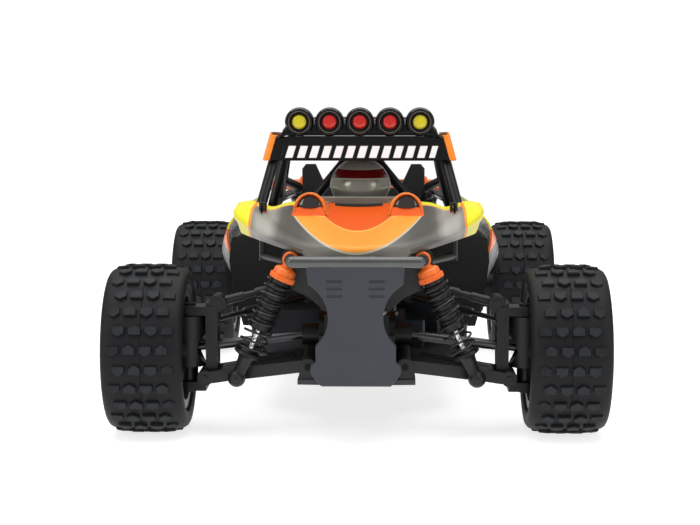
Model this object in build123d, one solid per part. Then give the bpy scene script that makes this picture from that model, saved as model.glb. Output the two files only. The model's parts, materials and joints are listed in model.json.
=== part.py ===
"""Electric desert sand-rail buggy, 1/10 class, built as it comes apart on a bench.

Frame: millimetres, the car's front faces -Y, +X is the car's left, +Z up. The origin is on
the ground under the middle of the car. One STEP file is written for each sub-part.
"""
from build123d import *
from math import asin, atan2, cos, degrees, hypot, pi, radians, sin
import os

# ---------------------------------------------------------------- driving dimensions
HALF_LENGTH = 197.5          # bumper tube at the front, tail tube at the rear
AXLE_Y = 137.5               # half of the 275 mm wheelbase
TYRE_R = 42.7
TYRE_IN = 84.5               # inner and outer side faces of a tyre, from the middle
TYRE_OUT = 124.5
RIM_R = 28.0
WHEEL_Z = TYRE_R

PLATE_BOTTOM = 28.5
PLATE_TOP = 31.0
PLATE_HALF = 60.0            # half width of the chassis plate between the wheels
NOSE_HALF = 17.0

ARM_IN = (24.0, 37.0)        # suspension points of the left side, as (x, z)
ARM_OUT = (76.0, 29.0)
LINK_IN = (27.0, 77.0)
LINK_OUT = (70.0, 66.0)
SHOCK_TOP = {"front": (32.5, 89.7), "rear": (36.0, 118.0)}
SHOCK_LOW = {"front": (59.5, 30.5), "rear": (60.0, 31.0)}
OUTDRIVE = (24.0, 50.0)
AXLE_JOINT = (85.0, 42.7)    # also where the kingpin axis crosses the axle
SHOCK_Y = 19.0               # shocks stand this far outside the axle line
TOWER_Y = (7.0, 11.0)

STEER_ARM = 16.0             # same arm on the knuckles and on both cranks
STEER_Y = -100.0             # pivots of the two cranks
CRANK_X = 15.0
DRAG_Z = 63.3
TIE_IN_X = 27.0
TIE_OUT_Z = 52.0

SCREW_HEAD = 1.6            # height of every screw head
PIN_R = 1.5
RUN = 0.05                   # radial running clearance
OPEN_BALL = 0.6              # play left in the ball ends that close each linkage

DRIVE_Z = 50.0               # centre driveshaft and motor height
MODULE = 0.8
SPUR_TEETH = 44
PINION_TEETH = 18
SPUR_Y = 46.0
MOTOR_R = 18.0

SHELL = 1.3                  # wall of the moulded body
TUBE_R = 2.9                 # roll cage tube
ARCH_X = 25.0                # raised half-round arches on the hood
ARCH_R = 8.3
LAMP_PITCH = 16.7
LAMP_Z = 154.9
LAMP_R = 8.1
HELMET = (0.0, -14.0, 117.5)
HELMET_R = 17.2


# ---------------------------------------------------------------- building blocks
def block(x0, x1, y0, y1, z0, z1):
    return Solid.make_box(x1 - x0, y1 - y0, z1 - z0, Plane(origin=(x0, y0, z0)))


def rod(start, end, radius):
    start = Vector(*start)
    run = Vector(*end) - start
    return Solid.make_cylinder(radius, run.length, Plane(origin=start, z_dir=run))


def upright(x, y, z0, z1, radius):
    """Rod parallel to z."""
    return rod((x, y, z0), (x, y, z1), radius)


def lengthwise(x, z, y0, y1, radius):
    """Rod parallel to y."""
    return rod((x, y0, z), (x, y1, z), radius)


def cone(start, end, r0, r1):
    start = Vector(*start)
    run = Vector(*end) - start
    return Solid.make_cone(r0, r1, run.length, Plane(origin=start, z_dir=run))


def ball(centre, radius, pole=(0, 0, 1)):
    return Solid.make_sphere(radius, Plane(origin=centre, z_dir=pole), angle1=-90, angle2=90)


def polygon(points):
    return Face(Wire.make_polygon([Vector(*point) for point in points], close=True))


def slab_xz(points, y0, y1):
    return Solid.extrude(polygon([(x, y0, z) for x, z in points]), Vector(0, y1 - y0, 0))


def slab_xy(points, z0, z1):
    return Solid.extrude(polygon([(x, y, z0) for x, y in points]), Vector(0, 0, z1 - z0))


def slab_yz(points, x0, x1):
    return Solid.extrude(polygon([(x0, y, z) for y, z in points]), Vector(x1 - x0, 0, 0))


def spin_x(profile, y, z):
    """Turns a profile of (x, radius) about the line along X through (y, z)."""
    face = polygon([(x, y, z + r) for x, r in profile])
    return Solid.revolve(face, 360, Axis((0, y, z), (1, 0, 0)))


def merge(solid, *others):
    """One solid out of several that touch."""
    return solid.fuse(*others).solids()[0]


def cut(solid, *tools):
    return solid.cut(*tools).solids()[0]


def pair(solid):
    return [solid, solid.mirror(Plane.YZ)]


def lens_ring(centre, radius, bore, half_width, axis):
    """A ball-end ring with its hole along axis."""
    centre = Vector(*centre)
    step = Vector(*axis) * half_width
    ring = rod(centre - step, centre + step, radius)
    return ring, rod(centre - step * 2, centre + step * 2, bore)


def inset(points, wall):
    """The polyline moved inwards, to the right of its direction, by the wall."""
    moved = []
    for i, (x, z) in enumerate(points):
        before = points[max(i - 1, 0)]
        after = points[min(i + 1, len(points) - 1)]
        dx0, dz0 = x - before[0], z - before[1]
        dx1, dz1 = after[0] - x, after[1] - z
        if i == 0:
            dx0, dz0 = dx1, dz1
        if i == len(points) - 1:
            dx1, dz1 = dx0, dz0
        l0, l1 = hypot(dx0, dz0), hypot(dx1, dz1)
        nx = dz0 / l0 + dz1 / l1
        nz = -dx0 / l0 - dx1 / l1
        scale = 2 / (nx * nx + nz * nz)
        moved.append((x + nx * scale * wall, z + nz * scale * wall))
    return moved


def skin(sections, wall):
    """A thin shell lofted through open outlines, each given as (y, [(x, z), ...])."""
    wires = []
    for y, outline in sections:
        loop = outline + list(reversed(inset(outline, wall)))
        wires.append(Wire.make_polygon([Vector(x, y, z) for x, z in loop], close=True))
    return Solid.make_loft(wires, ruled=True)


# ---------------------------------------------------------------- one suspension corner
def shock_axis(end):
    """Unit direction from the top eye to the bottom eye, and the distance."""
    (x0, z0), (x1, z1) = SHOCK_TOP[end], SHOCK_LOW[end]
    length = hypot(x1 - x0, z1 - z0)
    return Vector((x1 - x0) / length, 0, (z1 - z0) / length), length


def lower_arm(end):
    """A-arm with windows, an outer fork, its hinge pin and the shock's lower stud."""
    length = hypot(ARM_OUT[0] - ARM_IN[0], ARM_OUT[1] - ARM_IN[1])
    tilt = degrees(asin((ARM_IN[1] - ARM_OUT[1]) / length))
    outline = [(3, -19.5), (3, 19.5), (length - 12, 12), (length - 3, 12), (length - 3, -12),
               (length - 12, -12)]
    arm = slab_xy(outline, -3, 3)
    barrel = rod((0, -20, 0), (0, 20, 0), 3.9)
    fork = rod((length, -12, 0), (length, 12, 0), 3.9)
    arm = merge(arm, barrel, fork)
    windows = [
        slab_xy([(8, -14), (8, -2), (31, -2), (31, -9.5)], -9, 9),
        slab_xy([(8, 2), (8, 14), (31, 9.5), (31, 2)], -9, 9),
    ]
    groove = block(6, length - 10, -1.2, 1.2, 1.6, 9)
    gap = block(length - 8.2, length + 9, -8.3, 8.3, -9, 9)
    bores = [rod((0, -30, 0), (0, 30, 0), PIN_R + RUN), rod((length, -30, 0), (length, 30, 0), PIN_R)]
    arm = cut(arm, *windows, groove, gap, *bores)
    arm = arm.moved(Location((ARM_IN[0], -AXLE_Y, ARM_IN[1]), (0, tilt, 0)))
    x, z = SHOCK_LOW[end]
    boss = rod((x, -AXLE_Y - 11, z), (x, -AXLE_Y - 15.4, z), 3.4)
    stud = rod((x, -AXLE_Y - 11, z), (x, -AXLE_Y - SHOCK_Y - 2.9, z), PIN_R)
    head = rod((x, -AXLE_Y - SHOCK_Y - 2.9, z), (x, -AXLE_Y - SHOCK_Y - 4.2, z), 2.6)
    arm = merge(arm, boss, stud, head)
    hinge_pin = rod((ARM_OUT[0], -AXLE_Y - 12.8, ARM_OUT[1]), (ARM_OUT[0], -AXLE_Y + 12.8, ARM_OUT[1]),
                    PIN_R)
    return [arm, hinge_pin]


def carrier_ears():
    """The slotted top ears and stud that hold the upper link's outer ball end."""
    x, z = LINK_OUT
    ears = merge(rod((x, -AXLE_Y - 6, z), (x, -AXLE_Y + 6, z), 4.2),
                 block(x - 0.5, x + 6, -AXLE_Y - 6, -AXLE_Y + 6, z - 8, z + 0.5))
    slot = merge(rod((x, -AXLE_Y - 2.8, z), (x, -AXLE_Y + 2.8, z), 5.2),
                 block(x - 9, x, -AXLE_Y - 2.8, -AXLE_Y + 2.8, z - 5.2, z + 9))
    stud = rod((x, -AXLE_Y - 6.8, z), (x, -AXLE_Y + 6.8, z), 2.3)
    return ears, slot, stud


def carrier_foot():
    x, z = ARM_OUT
    return rod((x, -AXLE_Y - 8, z), (x, -AXLE_Y + 8, z), 4.2), rod((x, -150, z), (x, -120, z), PIN_R + RUN)


def front_carrier():
    """C-shaped hub carrier with its two kingpins."""
    kx = AXLE_JOINT[0]
    y0, y1 = -AXLE_Y - 7, -AXLE_Y + 7
    foot, foot_bore = carrier_foot()
    ears, slot, stud = carrier_ears()
    web = block(70, 76, y0, y1, 26, 64.5)
    bottom = merge(block(76, kx, y0, y1, 21.8, 26.3), rod((kx, -AXLE_Y, 21.8), (kx, -AXLE_Y, 26.3), 7))
    top = merge(block(71, kx, y0, y1, 60, 64.5), rod((kx, -AXLE_Y, 60), (kx, -AXLE_Y, 64.5), 7))
    window = block(60, 78, -AXLE_Y - 4.8, -AXLE_Y + 4.8, 35.5, 54)
    pin_holes = rod((kx, -AXLE_Y, 10), (kx, -AXLE_Y, 80), 2)
    carrier = merge(web, foot, bottom, top, ears)
    carrier = cut(carrier, window, foot_bore, pin_holes, slot)
    carrier = merge(carrier, stud)
    lower_pin = merge(upright(kx, -AXLE_Y, 20.6, 21.8, 3.4), upright(kx, -AXLE_Y, 21.8, 31, 2))
    upper_pin = merge(upright(kx, -AXLE_Y, 64.5, 65.7, 3.4), upright(kx, -AXLE_Y, 55.4, 64.5, 2))
    return [carrier, lower_pin, upper_pin]


def bearing():
    return spin_x([(92.4, 2.5 + RUN), (96.4, 2.5 + RUN), (96.4, 5), (92.4, 5)], -AXLE_Y, WHEEL_Z)


def hub_bores():
    """Room for the wheel's drive cup, flared inwards for the steered driveshaft, and the bearing seat."""
    y, z = -AXLE_Y, WHEEL_Z
    return [rod((60, y, z), (91.3, y, z), 6.5), cone((74, y, z), (84, y, z), 8.2, 6.5),
            rod((91, y, z), (99, y, z), 5)]


def knuckle():
    """Steering knuckle with its rearward arm, ball stud and wheel bearing."""
    kx = AXLE_JOINT[0]
    post = merge(upright(kx, -AXLE_Y, 26.8, 35, 4.4), upright(kx, -AXLE_Y, 34, 59.5, 8.6))
    boss = rod((kx, -AXLE_Y, WHEEL_Z), (97.5, -AXLE_Y, WHEEL_Z), 9)
    ribs = block(kx - 2, 96, -AXLE_Y - 1.6, -AXLE_Y + 1.6, 29, 56.5)
    ball_y = -AXLE_Y + STEER_ARM
    arm = merge(block(kx - 4, kx + 4, -AXLE_Y + 6.8, ball_y, 45.3, 48.8),
                rod((kx, ball_y, 45.3), (kx, ball_y, 48.8), 4))
    body = merge(post, boss, ribs, arm)
    pins = [upright(kx, -AXLE_Y, 20, 31.4, 2 + RUN), upright(kx, -AXLE_Y, 55, 70, 2 + RUN)]
    body = cut(body, *hub_bores(), *pins)
    stud = merge(rod((kx, ball_y, 48.8), (kx, ball_y, TIE_OUT_Z), 1.3), ball((kx, ball_y, TIE_OUT_Z), 2.4))
    return [merge(body, stud), bearing()]


def rear_carrier():
    """Upright rear hub carrier, without steering, with its bearing."""
    foot, foot_bore = carrier_foot()
    ears, slot, stud = carrier_ears()
    web = block(70, 77, -AXLE_Y - 7.8, -AXLE_Y + 7.8, 29, 63)
    boss = rod((74, -AXLE_Y, WHEEL_Z), (97.5, -AXLE_Y, WHEEL_Z), 9.4)
    ribs = block(76, 95, -AXLE_Y - 1.6, -AXLE_Y + 1.6, 28, 58)
    window = block(60, 78, -AXLE_Y - 4.8, -AXLE_Y + 4.8, 35.5, 54)
    carrier = cut(merge(web, foot, ears, boss, ribs), *hub_bores(), window, foot_bore, slot)
    return [merge(carrier, stud), bearing()]


def wheel():
    """Dished rim, stub axle with its drive cup and hex, and the wheel nut."""
    y, z = -AXLE_Y, WHEEL_Z
    barrel = spin_x([(86.5, 26.3), (122.5, 26.3), (122.5, 30.5), (120.5, 30.5), (120.5, RIM_R),
                     (88.5, RIM_R), (88.5, 30.5), (86.5, 30.5)], y, z)
    disc = spin_x([(104, 2.5), (112, 2.5), (112, 8.5), (108.5, 10.5), (112.5, 26.5), (108.5, 26.5),
                   (104, 10.5)], y, z)
    windows = []
    for i in range(6):
        turn = radians(60 * i + 30)
        centre = (y + 18.4 * cos(turn), z + 18.4 * sin(turn))
        windows.append(rod((100, *centre), (120, *centre), 5.2))
    rim = cut(merge(barrel, disc), *windows)
    cup = cut(rod((82.8, y, z), (91, y, z), 6.1), rod((80, y, z), (89.5, y, z), 5))
    hexagon = [(y + 6.9 * cos(radians(60 * i)), z + 6.9 * sin(radians(60 * i))) for i in range(6)]
    axle = merge(cup, rod((91, y, z), (119, y, z), 2.5), slab_yz(hexagon, 98.2, 103.9))
    nut_outline = [(y + 4.6 * cos(radians(60 * i)), z + 4.6 * sin(radians(60 * i))) for i in range(6)]
    nut = cut(slab_yz(nut_outline, 112.1, 116.6), rod((100, y, z), (130, y, z), 2.5))
    return [rim, axle, nut]


def tyre():
    """Hollow tyre carcass and the foam ring inside it."""
    middle = (TYRE_IN + TYRE_OUT) / 2
    half = [(15.9, RIM_R + 0.03), (15.9, 30.9), (19.0, 32.2), (20.0, 35.6), (19.5, 38.8), (18.0, 41.2),
            (15.6, 42.3), (12.5, TYRE_R)]
    inner = [(10.0, 39.9), (15.2, 38.6), (17.0, 36.0), (13.4, 32.6), (13.4, RIM_R + 0.03)]
    profile = [(middle + dx, r) for dx, r in half] + [(middle - dx, r) for dx, r in reversed(half)]
    profile += [(middle - dx, r) for dx, r in reversed(inner)] + [(middle + dx, r) for dx, r in inner]
    foam = [(middle - 12.8, RIM_R + 0.05), (middle + 12.8, RIM_R + 0.05), (middle + 12.8, 33),
            (middle + 14.5, 37.5), (middle + 9, 39.3), (middle - 9, 39.3), (middle - 14.5, 37.5),
            (middle - 12.8, 33)]
    return [spin_x(profile, -AXLE_Y, WHEEL_Z), spin_x(foam, -AXLE_Y, WHEEL_Z)]


def upper_link():
    """Camber turnbuckle between the tower stud and the hub carrier's stud."""
    inner = (LINK_IN[0], -AXLE_Y, LINK_IN[1])
    outer = (LINK_OUT[0], -AXLE_Y, LINK_OUT[1])
    ring_in, bore_in = lens_ring(inner, 3.7, PIN_R + RUN, 2.2, (0, 1, 0))
    ring_out, bore_out = lens_ring(outer, 4.4, 2.3 + OPEN_BALL, 2.2, (0, 1, 0))
    run = Vector(*outer) - Vector(*inner)
    grip = rod(Vector(*inner) + run * 0.44, Vector(*inner) + run * 0.56, 2.5)
    sleeves = [rod(inner, Vector(*inner) + run * 0.3, 2.3), rod(Vector(*outer) - run * 0.3, outer, 2.3)]
    return [cut(merge(rod(inner, outer, 1.7), ring_in, ring_out, grip, *sleeves), bore_in, bore_out)]


def tie_rod():
    """Steering turnbuckle from the drag link's end pin to the knuckle's ball."""
    inner = (TIE_IN_X, STEER_Y + STEER_ARM - 5, DRAG_Z)
    outer = (AXLE_JOINT[0], -AXLE_Y + STEER_ARM, TIE_OUT_Z)
    ring_in, bore_in = lens_ring(inner, 3.6, PIN_R + RUN, 1.8, (0, 1, 0))
    ring_out, bore_out = lens_ring(outer, 4.4, 2.4 + OPEN_BALL + 0.3, 1.5, (0, 0, 1))
    run = Vector(*outer) - Vector(*inner)
    grip = rod(Vector(*inner) + run * 0.44, Vector(*inner) + run * 0.56, 2.4)
    sleeves = [rod(inner, Vector(*inner) + run * 0.26, 1.7), rod(Vector(*outer) - run * 0.26, outer, 1.5)]
    return [cut(merge(rod(inner, outer, 1.4), ring_in, ring_out, grip, *sleeves), bore_in, bore_out)]


def driveshaft():
    """Shaft with a pinned ball in the gearbox cup and a plain ball in the wheel's cup."""
    inner = Vector(OUTDRIVE[0], -AXLE_Y, OUTDRIVE[1])
    outer = Vector(AXLE_JOINT[0], -AXLE_Y, AXLE_JOINT[1])
    run = (outer - inner).normalized()
    across = Vector(0, 3.7, 0)
    thick = rod(inner + run * 7, outer - run * 10, 2.5)
    pin = rod(inner - across, inner + across, 1)
    return [merge(rod(inner, outer, 1.9), thick, ball(inner, 3.2, run), ball(outer, 3.0, run), pin)]


def shock_sizes(end):
    """Distances from the top eye along the shock: cap, tube end, seat, and the piston."""
    if end == "front":
        return {"tube": 38.0, "seat": 50.5, "piston": 29.0, "body_r": 5.4, "spring_r": 6.5}
    return {"tube": 56.0, "seat": 74.5, "piston": 46.0, "body_r": 5.6, "spring_r": 6.8}


def shock_body(end):
    """Ribbed oil cylinder with its screw-on cap and adjusting collar."""
    size = shock_sizes(end)
    run, _ = shock_axis(end)
    x, z = SHOCK_TOP[end]
    top = Vector(x, -AXLE_Y - SHOCK_Y, z)
    at = lambda s: top + run * s
    r = size["body_r"]
    tube = rod(at(11), at(size["tube"]), r - 0.5)
    ribs = [rod(at(s), at(s + 1.2), r) for s in range(14, int(size["tube"]) - 3, 3)]
    tube = merge(tube, *ribs)
    oil_space = rod(at(12.5), at(size["tube"] - 2.5), r - 1.5)
    tube = cut(tube, oil_space, rod(at(20), at(size["tube"] + 3), PIN_R + RUN))
    eye = rod(top - Vector(0, 2.5, 0), top + Vector(0, 2.5, 0), 3.9)
    neck = rod(top, at(6), 2.5)
    cap = merge(eye, neck, cone(at(4), at(6), 2.5, 5.4), rod(at(6), at(8.5), 5.8), rod(at(8.5), at(11), 6.3))
    cap = cut(cap, rod(top - Vector(0, 9, 0), top + Vector(0, 9, 0), PIN_R + RUN))
    return [tube, cap]


def shock_shaft(end):
    """Polished rod with piston, spring seat and lower ball end."""
    size = shock_sizes(end)
    run, length = shock_axis(end)
    x, z = SHOCK_TOP[end]
    top = Vector(x, -AXLE_Y - SHOCK_Y, z)
    at = lambda s: top + run * s
    low = at(length)
    shaft = rod(at(size["piston"]), at(size["seat"] + 4), PIN_R)
    piston = rod(at(size["piston"] - 1), at(size["piston"] + 1), size["body_r"] - 1.55)
    end_piece = merge(rod(at(size["seat"]), at(size["seat"] + 1.6), size["spring_r"] + 0.3),
                      cone(at(size["seat"] + 1.6), at(length - 2), 4.2, 2.8), ball(low, 4.4))
    trim = [low + Vector(0, s * 5.6, 0) for s in (-1, 1)]
    flats = [rod(point - Vector(0, 3, 0), point + Vector(0, 3, 0), 6) for point in trim]
    end_piece = cut(end_piece, rod(low - Vector(0, 9, 0), low + Vector(0, 9, 0), PIN_R + OPEN_BALL), *flats)
    return [merge(shaft, piston, end_piece)]


def spring(end):
    """Coil spring between the cap's collar and the seat on the shaft."""
    size = shock_sizes(end)
    run, _ = shock_axis(end)
    x, z = SHOCK_TOP[end]
    start = Vector(x, -AXLE_Y - SHOCK_Y, z) + run * 12.0
    height = size["seat"] - 12.0 - 1.0
    coil_r = size["spring_r"]
    turns = 8.5 if end == "front" else 10.5
    path = Helix(pitch=height / turns, height=height, radius=coil_r)
    wire_face = Face(Wire.make_circle(0.55, Plane(origin=path @ 0, z_dir=path % 0)))
    coil = sweep(wire_face, path=path, is_frenet=True).solids()[0]
    return [coil.moved(Plane(origin=start, z_dir=run).location)]


# ---------------------------------------------------------------- steering and drive train
def crank(side):
    """Steering crank with its pin up into the drag link."""
    x = CRANK_X * side
    y = STEER_Y + STEER_ARM
    hub = rod((x, STEER_Y, 57.2), (x, STEER_Y, 61.4), 5)
    arm = block(x - 3, x + 3, STEER_Y, y, 58.4, 61.4)
    end = rod((x, y, 58.4), (x, y, 61.4), 3.6)
    pin = rod((x, y, 61.4), (x, y, 65.9), PIN_R)
    bore = rod((x, STEER_Y, 50), (x, STEER_Y, 70), 2.5 + RUN)
    return [merge(cut(merge(hub, arm, end), bore), pin)]


def drag_link():
    """Cross link over both cranks, with the two tie rod pins."""
    y = STEER_Y + STEER_ARM
    bar = merge(block(-TIE_IN_X - 2.5, TIE_IN_X + 2.5, y - 3, y + 3, 61.7, 64.9),
                *[rod((s * CRANK_X, y, 61.7), (s * CRANK_X, y, 64.9), 3.6) for s in (-1, 1)])
    bores = [rod((s * CRANK_X, y, 60), (s * CRANK_X, y, 70), PIN_R + RUN) for s in (-1, 1)]
    pins = [rod((s * TIE_IN_X, y - 1, DRAG_Z), (s * TIE_IN_X, y - 7.8, DRAG_Z), PIN_R) for s in (-1, 1)]
    return [merge(cut(bar, *bores), *pins)]


def gear_outline(teeth, phase):
    """Outline of a spur gear with straight-sided teeth, as angles and radii."""
    root, tip = MODULE * (teeth / 2 - 1.2), MODULE * (teeth / 2 + 0.9)
    pitch = 2 * pi / teeth
    corners = []
    for i in range(teeth):
        middle = phase + i * pitch
        for part, r in ((-0.32, root), (-0.12, tip), (0.12, tip), (0.32, root)):
            corners.append((r * cos(middle + part * pitch), r * sin(middle + part * pitch)))
    return corners


def gear(centre_x, teeth, phase):
    outline = [(centre_x + x, DRIVE_Z + z) for x, z in gear_outline(teeth, phase)]
    return slab_xz(outline, SPUR_Y, SPUR_Y + 5)


def motor_x():
    return MODULE * (SPUR_TEETH + PINION_TEETH) / 2


def spur_gear():
    """Spur gear on the long centre driveshaft that joins both gearboxes."""
    wheel_gear = gear(0, SPUR_TEETH, 0)
    centres = [(11 * cos(radians(a)), DRIVE_Z + 11 * sin(radians(a))) for a in range(0, 360, 60)]
    holes = [lengthwise(x, z, SPUR_Y - 5, SPUR_Y + 9, 3) for x, z in centres]
    hub = rod((0, SPUR_Y - 4, DRIVE_Z), (0, SPUR_Y + 9, DRIVE_Z), 6)
    shaft = rod((0, -AXLE_Y + 18.5, DRIVE_Z), (0, AXLE_Y - 18.5, DRIVE_Z), 2.5)
    return [merge(cut(wheel_gear, *holes), hub, shaft)]


def motor_pinion():
    x = motor_x()
    body = gear(x, PINION_TEETH, pi + pi / PINION_TEETH)
    collar = rod((x, SPUR_Y - 4, DRIVE_Z), (x, SPUR_Y, DRIVE_Z), 4)
    return [cut(merge(body, collar), rod((x, SPUR_Y - 9, DRIVE_Z), (x, SPUR_Y + 9, DRIVE_Z), 1.6 + RUN))]


def motor():
    """Brushed can motor, its shaft and the plate that holds it."""
    x = motor_x()
    face = SPUR_Y + 13
    can = rod((x, face, DRIVE_Z), (x, face + 41, DRIVE_Z), MOTOR_R - 0.3)
    tail = rod((x, face + 41, DRIVE_Z), (x, face + 46, DRIVE_Z), 13)
    boss = rod((x, face - 4, DRIVE_Z), (x, face, DRIVE_Z), 6.5)
    shaft = rod((x, SPUR_Y - 3, DRIVE_Z), (x, face - 4, DRIVE_Z), 1.6)
    plate = block(7.2, x + 19, face - 3, face, PLATE_TOP, 70)
    plate = cut(plate, rod((x, face - 9, DRIVE_Z), (x, face + 9, DRIVE_Z), 6.5))
    return [merge(can, tail, boss, shaft), plate]


def steering_servo():
    """Low servo with its output spline up, and the post of the idler crank."""
    case = block(CRANK_X - 10, CRANK_X + 10, STEER_Y - 10, STEER_Y + 30, PLATE_TOP, 54)
    lugs = block(CRANK_X - 9, CRANK_X + 9, STEER_Y - 11.8, STEER_Y + 35, 46, 48.5)
    turret = rod((CRANK_X, STEER_Y, 54), (CRANK_X, STEER_Y, 56.6), 6)
    spline = rod((CRANK_X, STEER_Y, 56.6), (CRANK_X, STEER_Y, 62.2), 2.5)
    post = merge(rod((-CRANK_X, STEER_Y, PLATE_TOP), (-CRANK_X, STEER_Y, 56.6), 4.5),
                 rod((-CRANK_X, STEER_Y, 56.6), (-CRANK_X, STEER_Y, 62.2), 2.5))
    return [merge(case, lugs, turret, spline), post]


def gearbox():
    """Front gearbox case with its drive cups and the four arm hinge blocks."""
    y = -AXLE_Y
    lower = block(-16, 16, y - 17, y + 17, PLATE_TOP, DRIVE_Z)
    upper = block(-16, 16, y - 17, y + 17, DRIVE_Z, 62)
    drum = rod((-19, y, DRIVE_Z), (19, y, DRIVE_Z), 11.8)
    flange = block(-18.5, 18.5, y - 18.5, y + 18.5, DRIVE_Z - 1.6, DRIVE_Z + 1.6)
    input_bore = rod((0, y + 15, DRIVE_Z), (0, y + 30, DRIVE_Z), 2.5 + RUN)
    nose = rod((0, y + 17, DRIVE_Z), (0, y + 21, DRIVE_Z), 7)
    case = merge(lower, upper, drum, flange, nose)
    case = cut(case, input_bore)
    cup = cut(rod((19, y, DRIVE_Z), (27.5, y, DRIVE_Z), 5.5), rod((20.4, y, DRIVE_Z), (30, y, DRIVE_Z), 4))
    cups = pair(cup)
    solids = [case, *cups]
    for x_side in (1, -1):
        for y_side in (1, -1):
            y0, y1 = sorted((y + y_side * 20.4, y + y_side * 24.6))
            x = ARM_IN[0] * x_side
            foot = block(x - 4.2, x + 4.2, y0, y1, PLATE_TOP, ARM_IN[1])
            ear = merge(foot, rod((x, y0, ARM_IN[1]), (x, y1, ARM_IN[1]), 4.2))
            solids.append(cut(ear, rod((x, y0 - 3, ARM_IN[1]), (x, y1 + 3, ARM_IN[1]), PIN_R)))
    return solids


def tower(end):
    """Plate that carries the shocks' upper studs and the upper links' inner studs."""
    y0, y1 = -AXLE_Y - TOWER_Y[1], -AXLE_Y - TOWER_Y[0]
    x, z = SHOCK_TOP[end]
    half = [(x + 5, z + 2), (x + 2.5, z + 5), (x - 4, z + 5), (x - 11, z - 10), (6, z - 14), (0, z - 14)]
    lower = [(0, 62), (15, 62), (24, 70), (33, 74), (x + 5, z - 7)]
    outline = lower + half
    plate = merge(slab_xz(outline, y0, y1), slab_xz([(-a, b) for a, b in outline], y0, y1))
    foot = block(-13, 13, y1, -AXLE_Y + 6, 62, 65)
    plate = merge(plate, foot)
    holes = [lengthwise(s * 13, 72, y0 - 3, y1 + 3, 3.4) for s in (-1, 1)]
    plate = cut(plate, *holes)
    studs = []
    shock_y = -AXLE_Y - SHOCK_Y
    for side in (1, -1):
        shock_x, link_x = side * x, side * LINK_IN[0]
        studs += [lengthwise(shock_x, z, y0, shock_y + 2.7, 3),
                  lengthwise(shock_x, z, y0, shock_y - 2.8, PIN_R),
                  lengthwise(shock_x, z, shock_y - 2.8, shock_y - 4.3, 2.9),
                  lengthwise(link_x, LINK_IN[1], y1, -AXLE_Y - 2.4, 2.6),
                  lengthwise(link_x, LINK_IN[1], y1, -AXLE_Y + 2.5, PIN_R),
                  lengthwise(link_x, LINK_IN[1], -AXLE_Y + 2.5, -AXLE_Y + 3.8, 2.5)]
    return merge(plate, *studs)


def shock_towers():
    """Both towers and, on the front one, the struts and posts that hold the body."""
    solids = [tower("front"), tower("rear").mirror(Plane.XZ)]
    for side in (1, -1):
        strut = rod((side * 22, -AXLE_Y - TOWER_Y[0], 84.5), (side * 50, -100, 86), 2)
        post = rod((side * 50, -100, 83.5), (side * 50, -100, 114), 2.1)
        pin_hole = rod((side * 50, -110, 112), (side * 50, -90, 112), 0.8)
        solids.append(cut(merge(strut, post), pin_hole))
    return solids


# ---------------------------------------------------------------- chassis, cage and bumper
def chassis_screws():
    """Where the gearbox and bumper screws sit, their heads flush with the underside."""
    return [(x_side * x, y_side * y) for x_side in (1, -1) for y_side in (1, -1)
            for x, y in ((10, 148), (10, 126), (24, 159.5))]


def chassis_plate():
    """Flat plate with narrow ends, a motor vent and a seat for each screw head."""
    half = [(NOSE_HALF, -168), (NOSE_HALF, -164), (29, -163), (29, -110), (PLATE_HALF, -74),
            (PLATE_HALF, 92), (29, 110), (29, 163), (NOSE_HALF, 164), (NOSE_HALF, 178)]
    outline = half + [(-x, y) for x, y in reversed(half)]
    plate = slab_xy(outline, PLATE_BOTTOM, PLATE_TOP)
    vent = block(-44, -22, 58, 84, 20, 40)
    seats = [upright(x, y, PLATE_BOTTOM - 1, PLATE_BOTTOM + SCREW_HEAD, 2.7) for x, y in chassis_screws()]
    return [cut(plate, vent, *seats)]


def front_bumper():
    """Waisted bash plate, its foot, its top tube and the two stays to the tower."""
    lean = atan2(12.5, 58.0)
    high = lambda z: (z - 31.4) / cos(lean)
    right = Polyline((0, high(31.4)), (17.2, high(31.4)), (21.6, high(37.6)), (21.6, high(41.5)),
                     (19.2, high(43)), (19.2, high(51.5)))
    waist = ThreePointArc((19.2, high(51.5)), (13.2, high(66.5)), (22.6, high(81.5)))
    crown = Polyline((22.6, high(81.5)), (23.4, high(91.5)), (0, high(91.5)), (0, high(31.4)))
    face = make_face([*right.edges(), *waist.edges(), *crown.edges()]).faces()[0]
    half = Solid.extrude(face, Vector(0, 0, 4))
    plate = merge(half, half.mirror(Plane.YZ))
    plate = plate.moved(Location((0, -179, 31.4), (90 + degrees(lean), 0, 0)))
    bar_y = -HALF_LENGTH + 2.75
    bar = rod((-30.5, bar_y, 92.3), (30.5, bar_y, 92.3), 2.75)
    ends = [ball((s * 30.5, bar_y, 92.3), 2.75) for s in (-1, 1)]
    foot = block(-15, 15, -181, -158, PLATE_TOP, 34)
    stays = [rod((s * 9, -190, 84), (s * 9, -AXLE_Y - TOWER_Y[1] - 0.7, 74.2), 2) for s in (-1, 1)]
    bumper = merge(plate, bar, *ends, foot, *stays)
    return [bumper]


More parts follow.
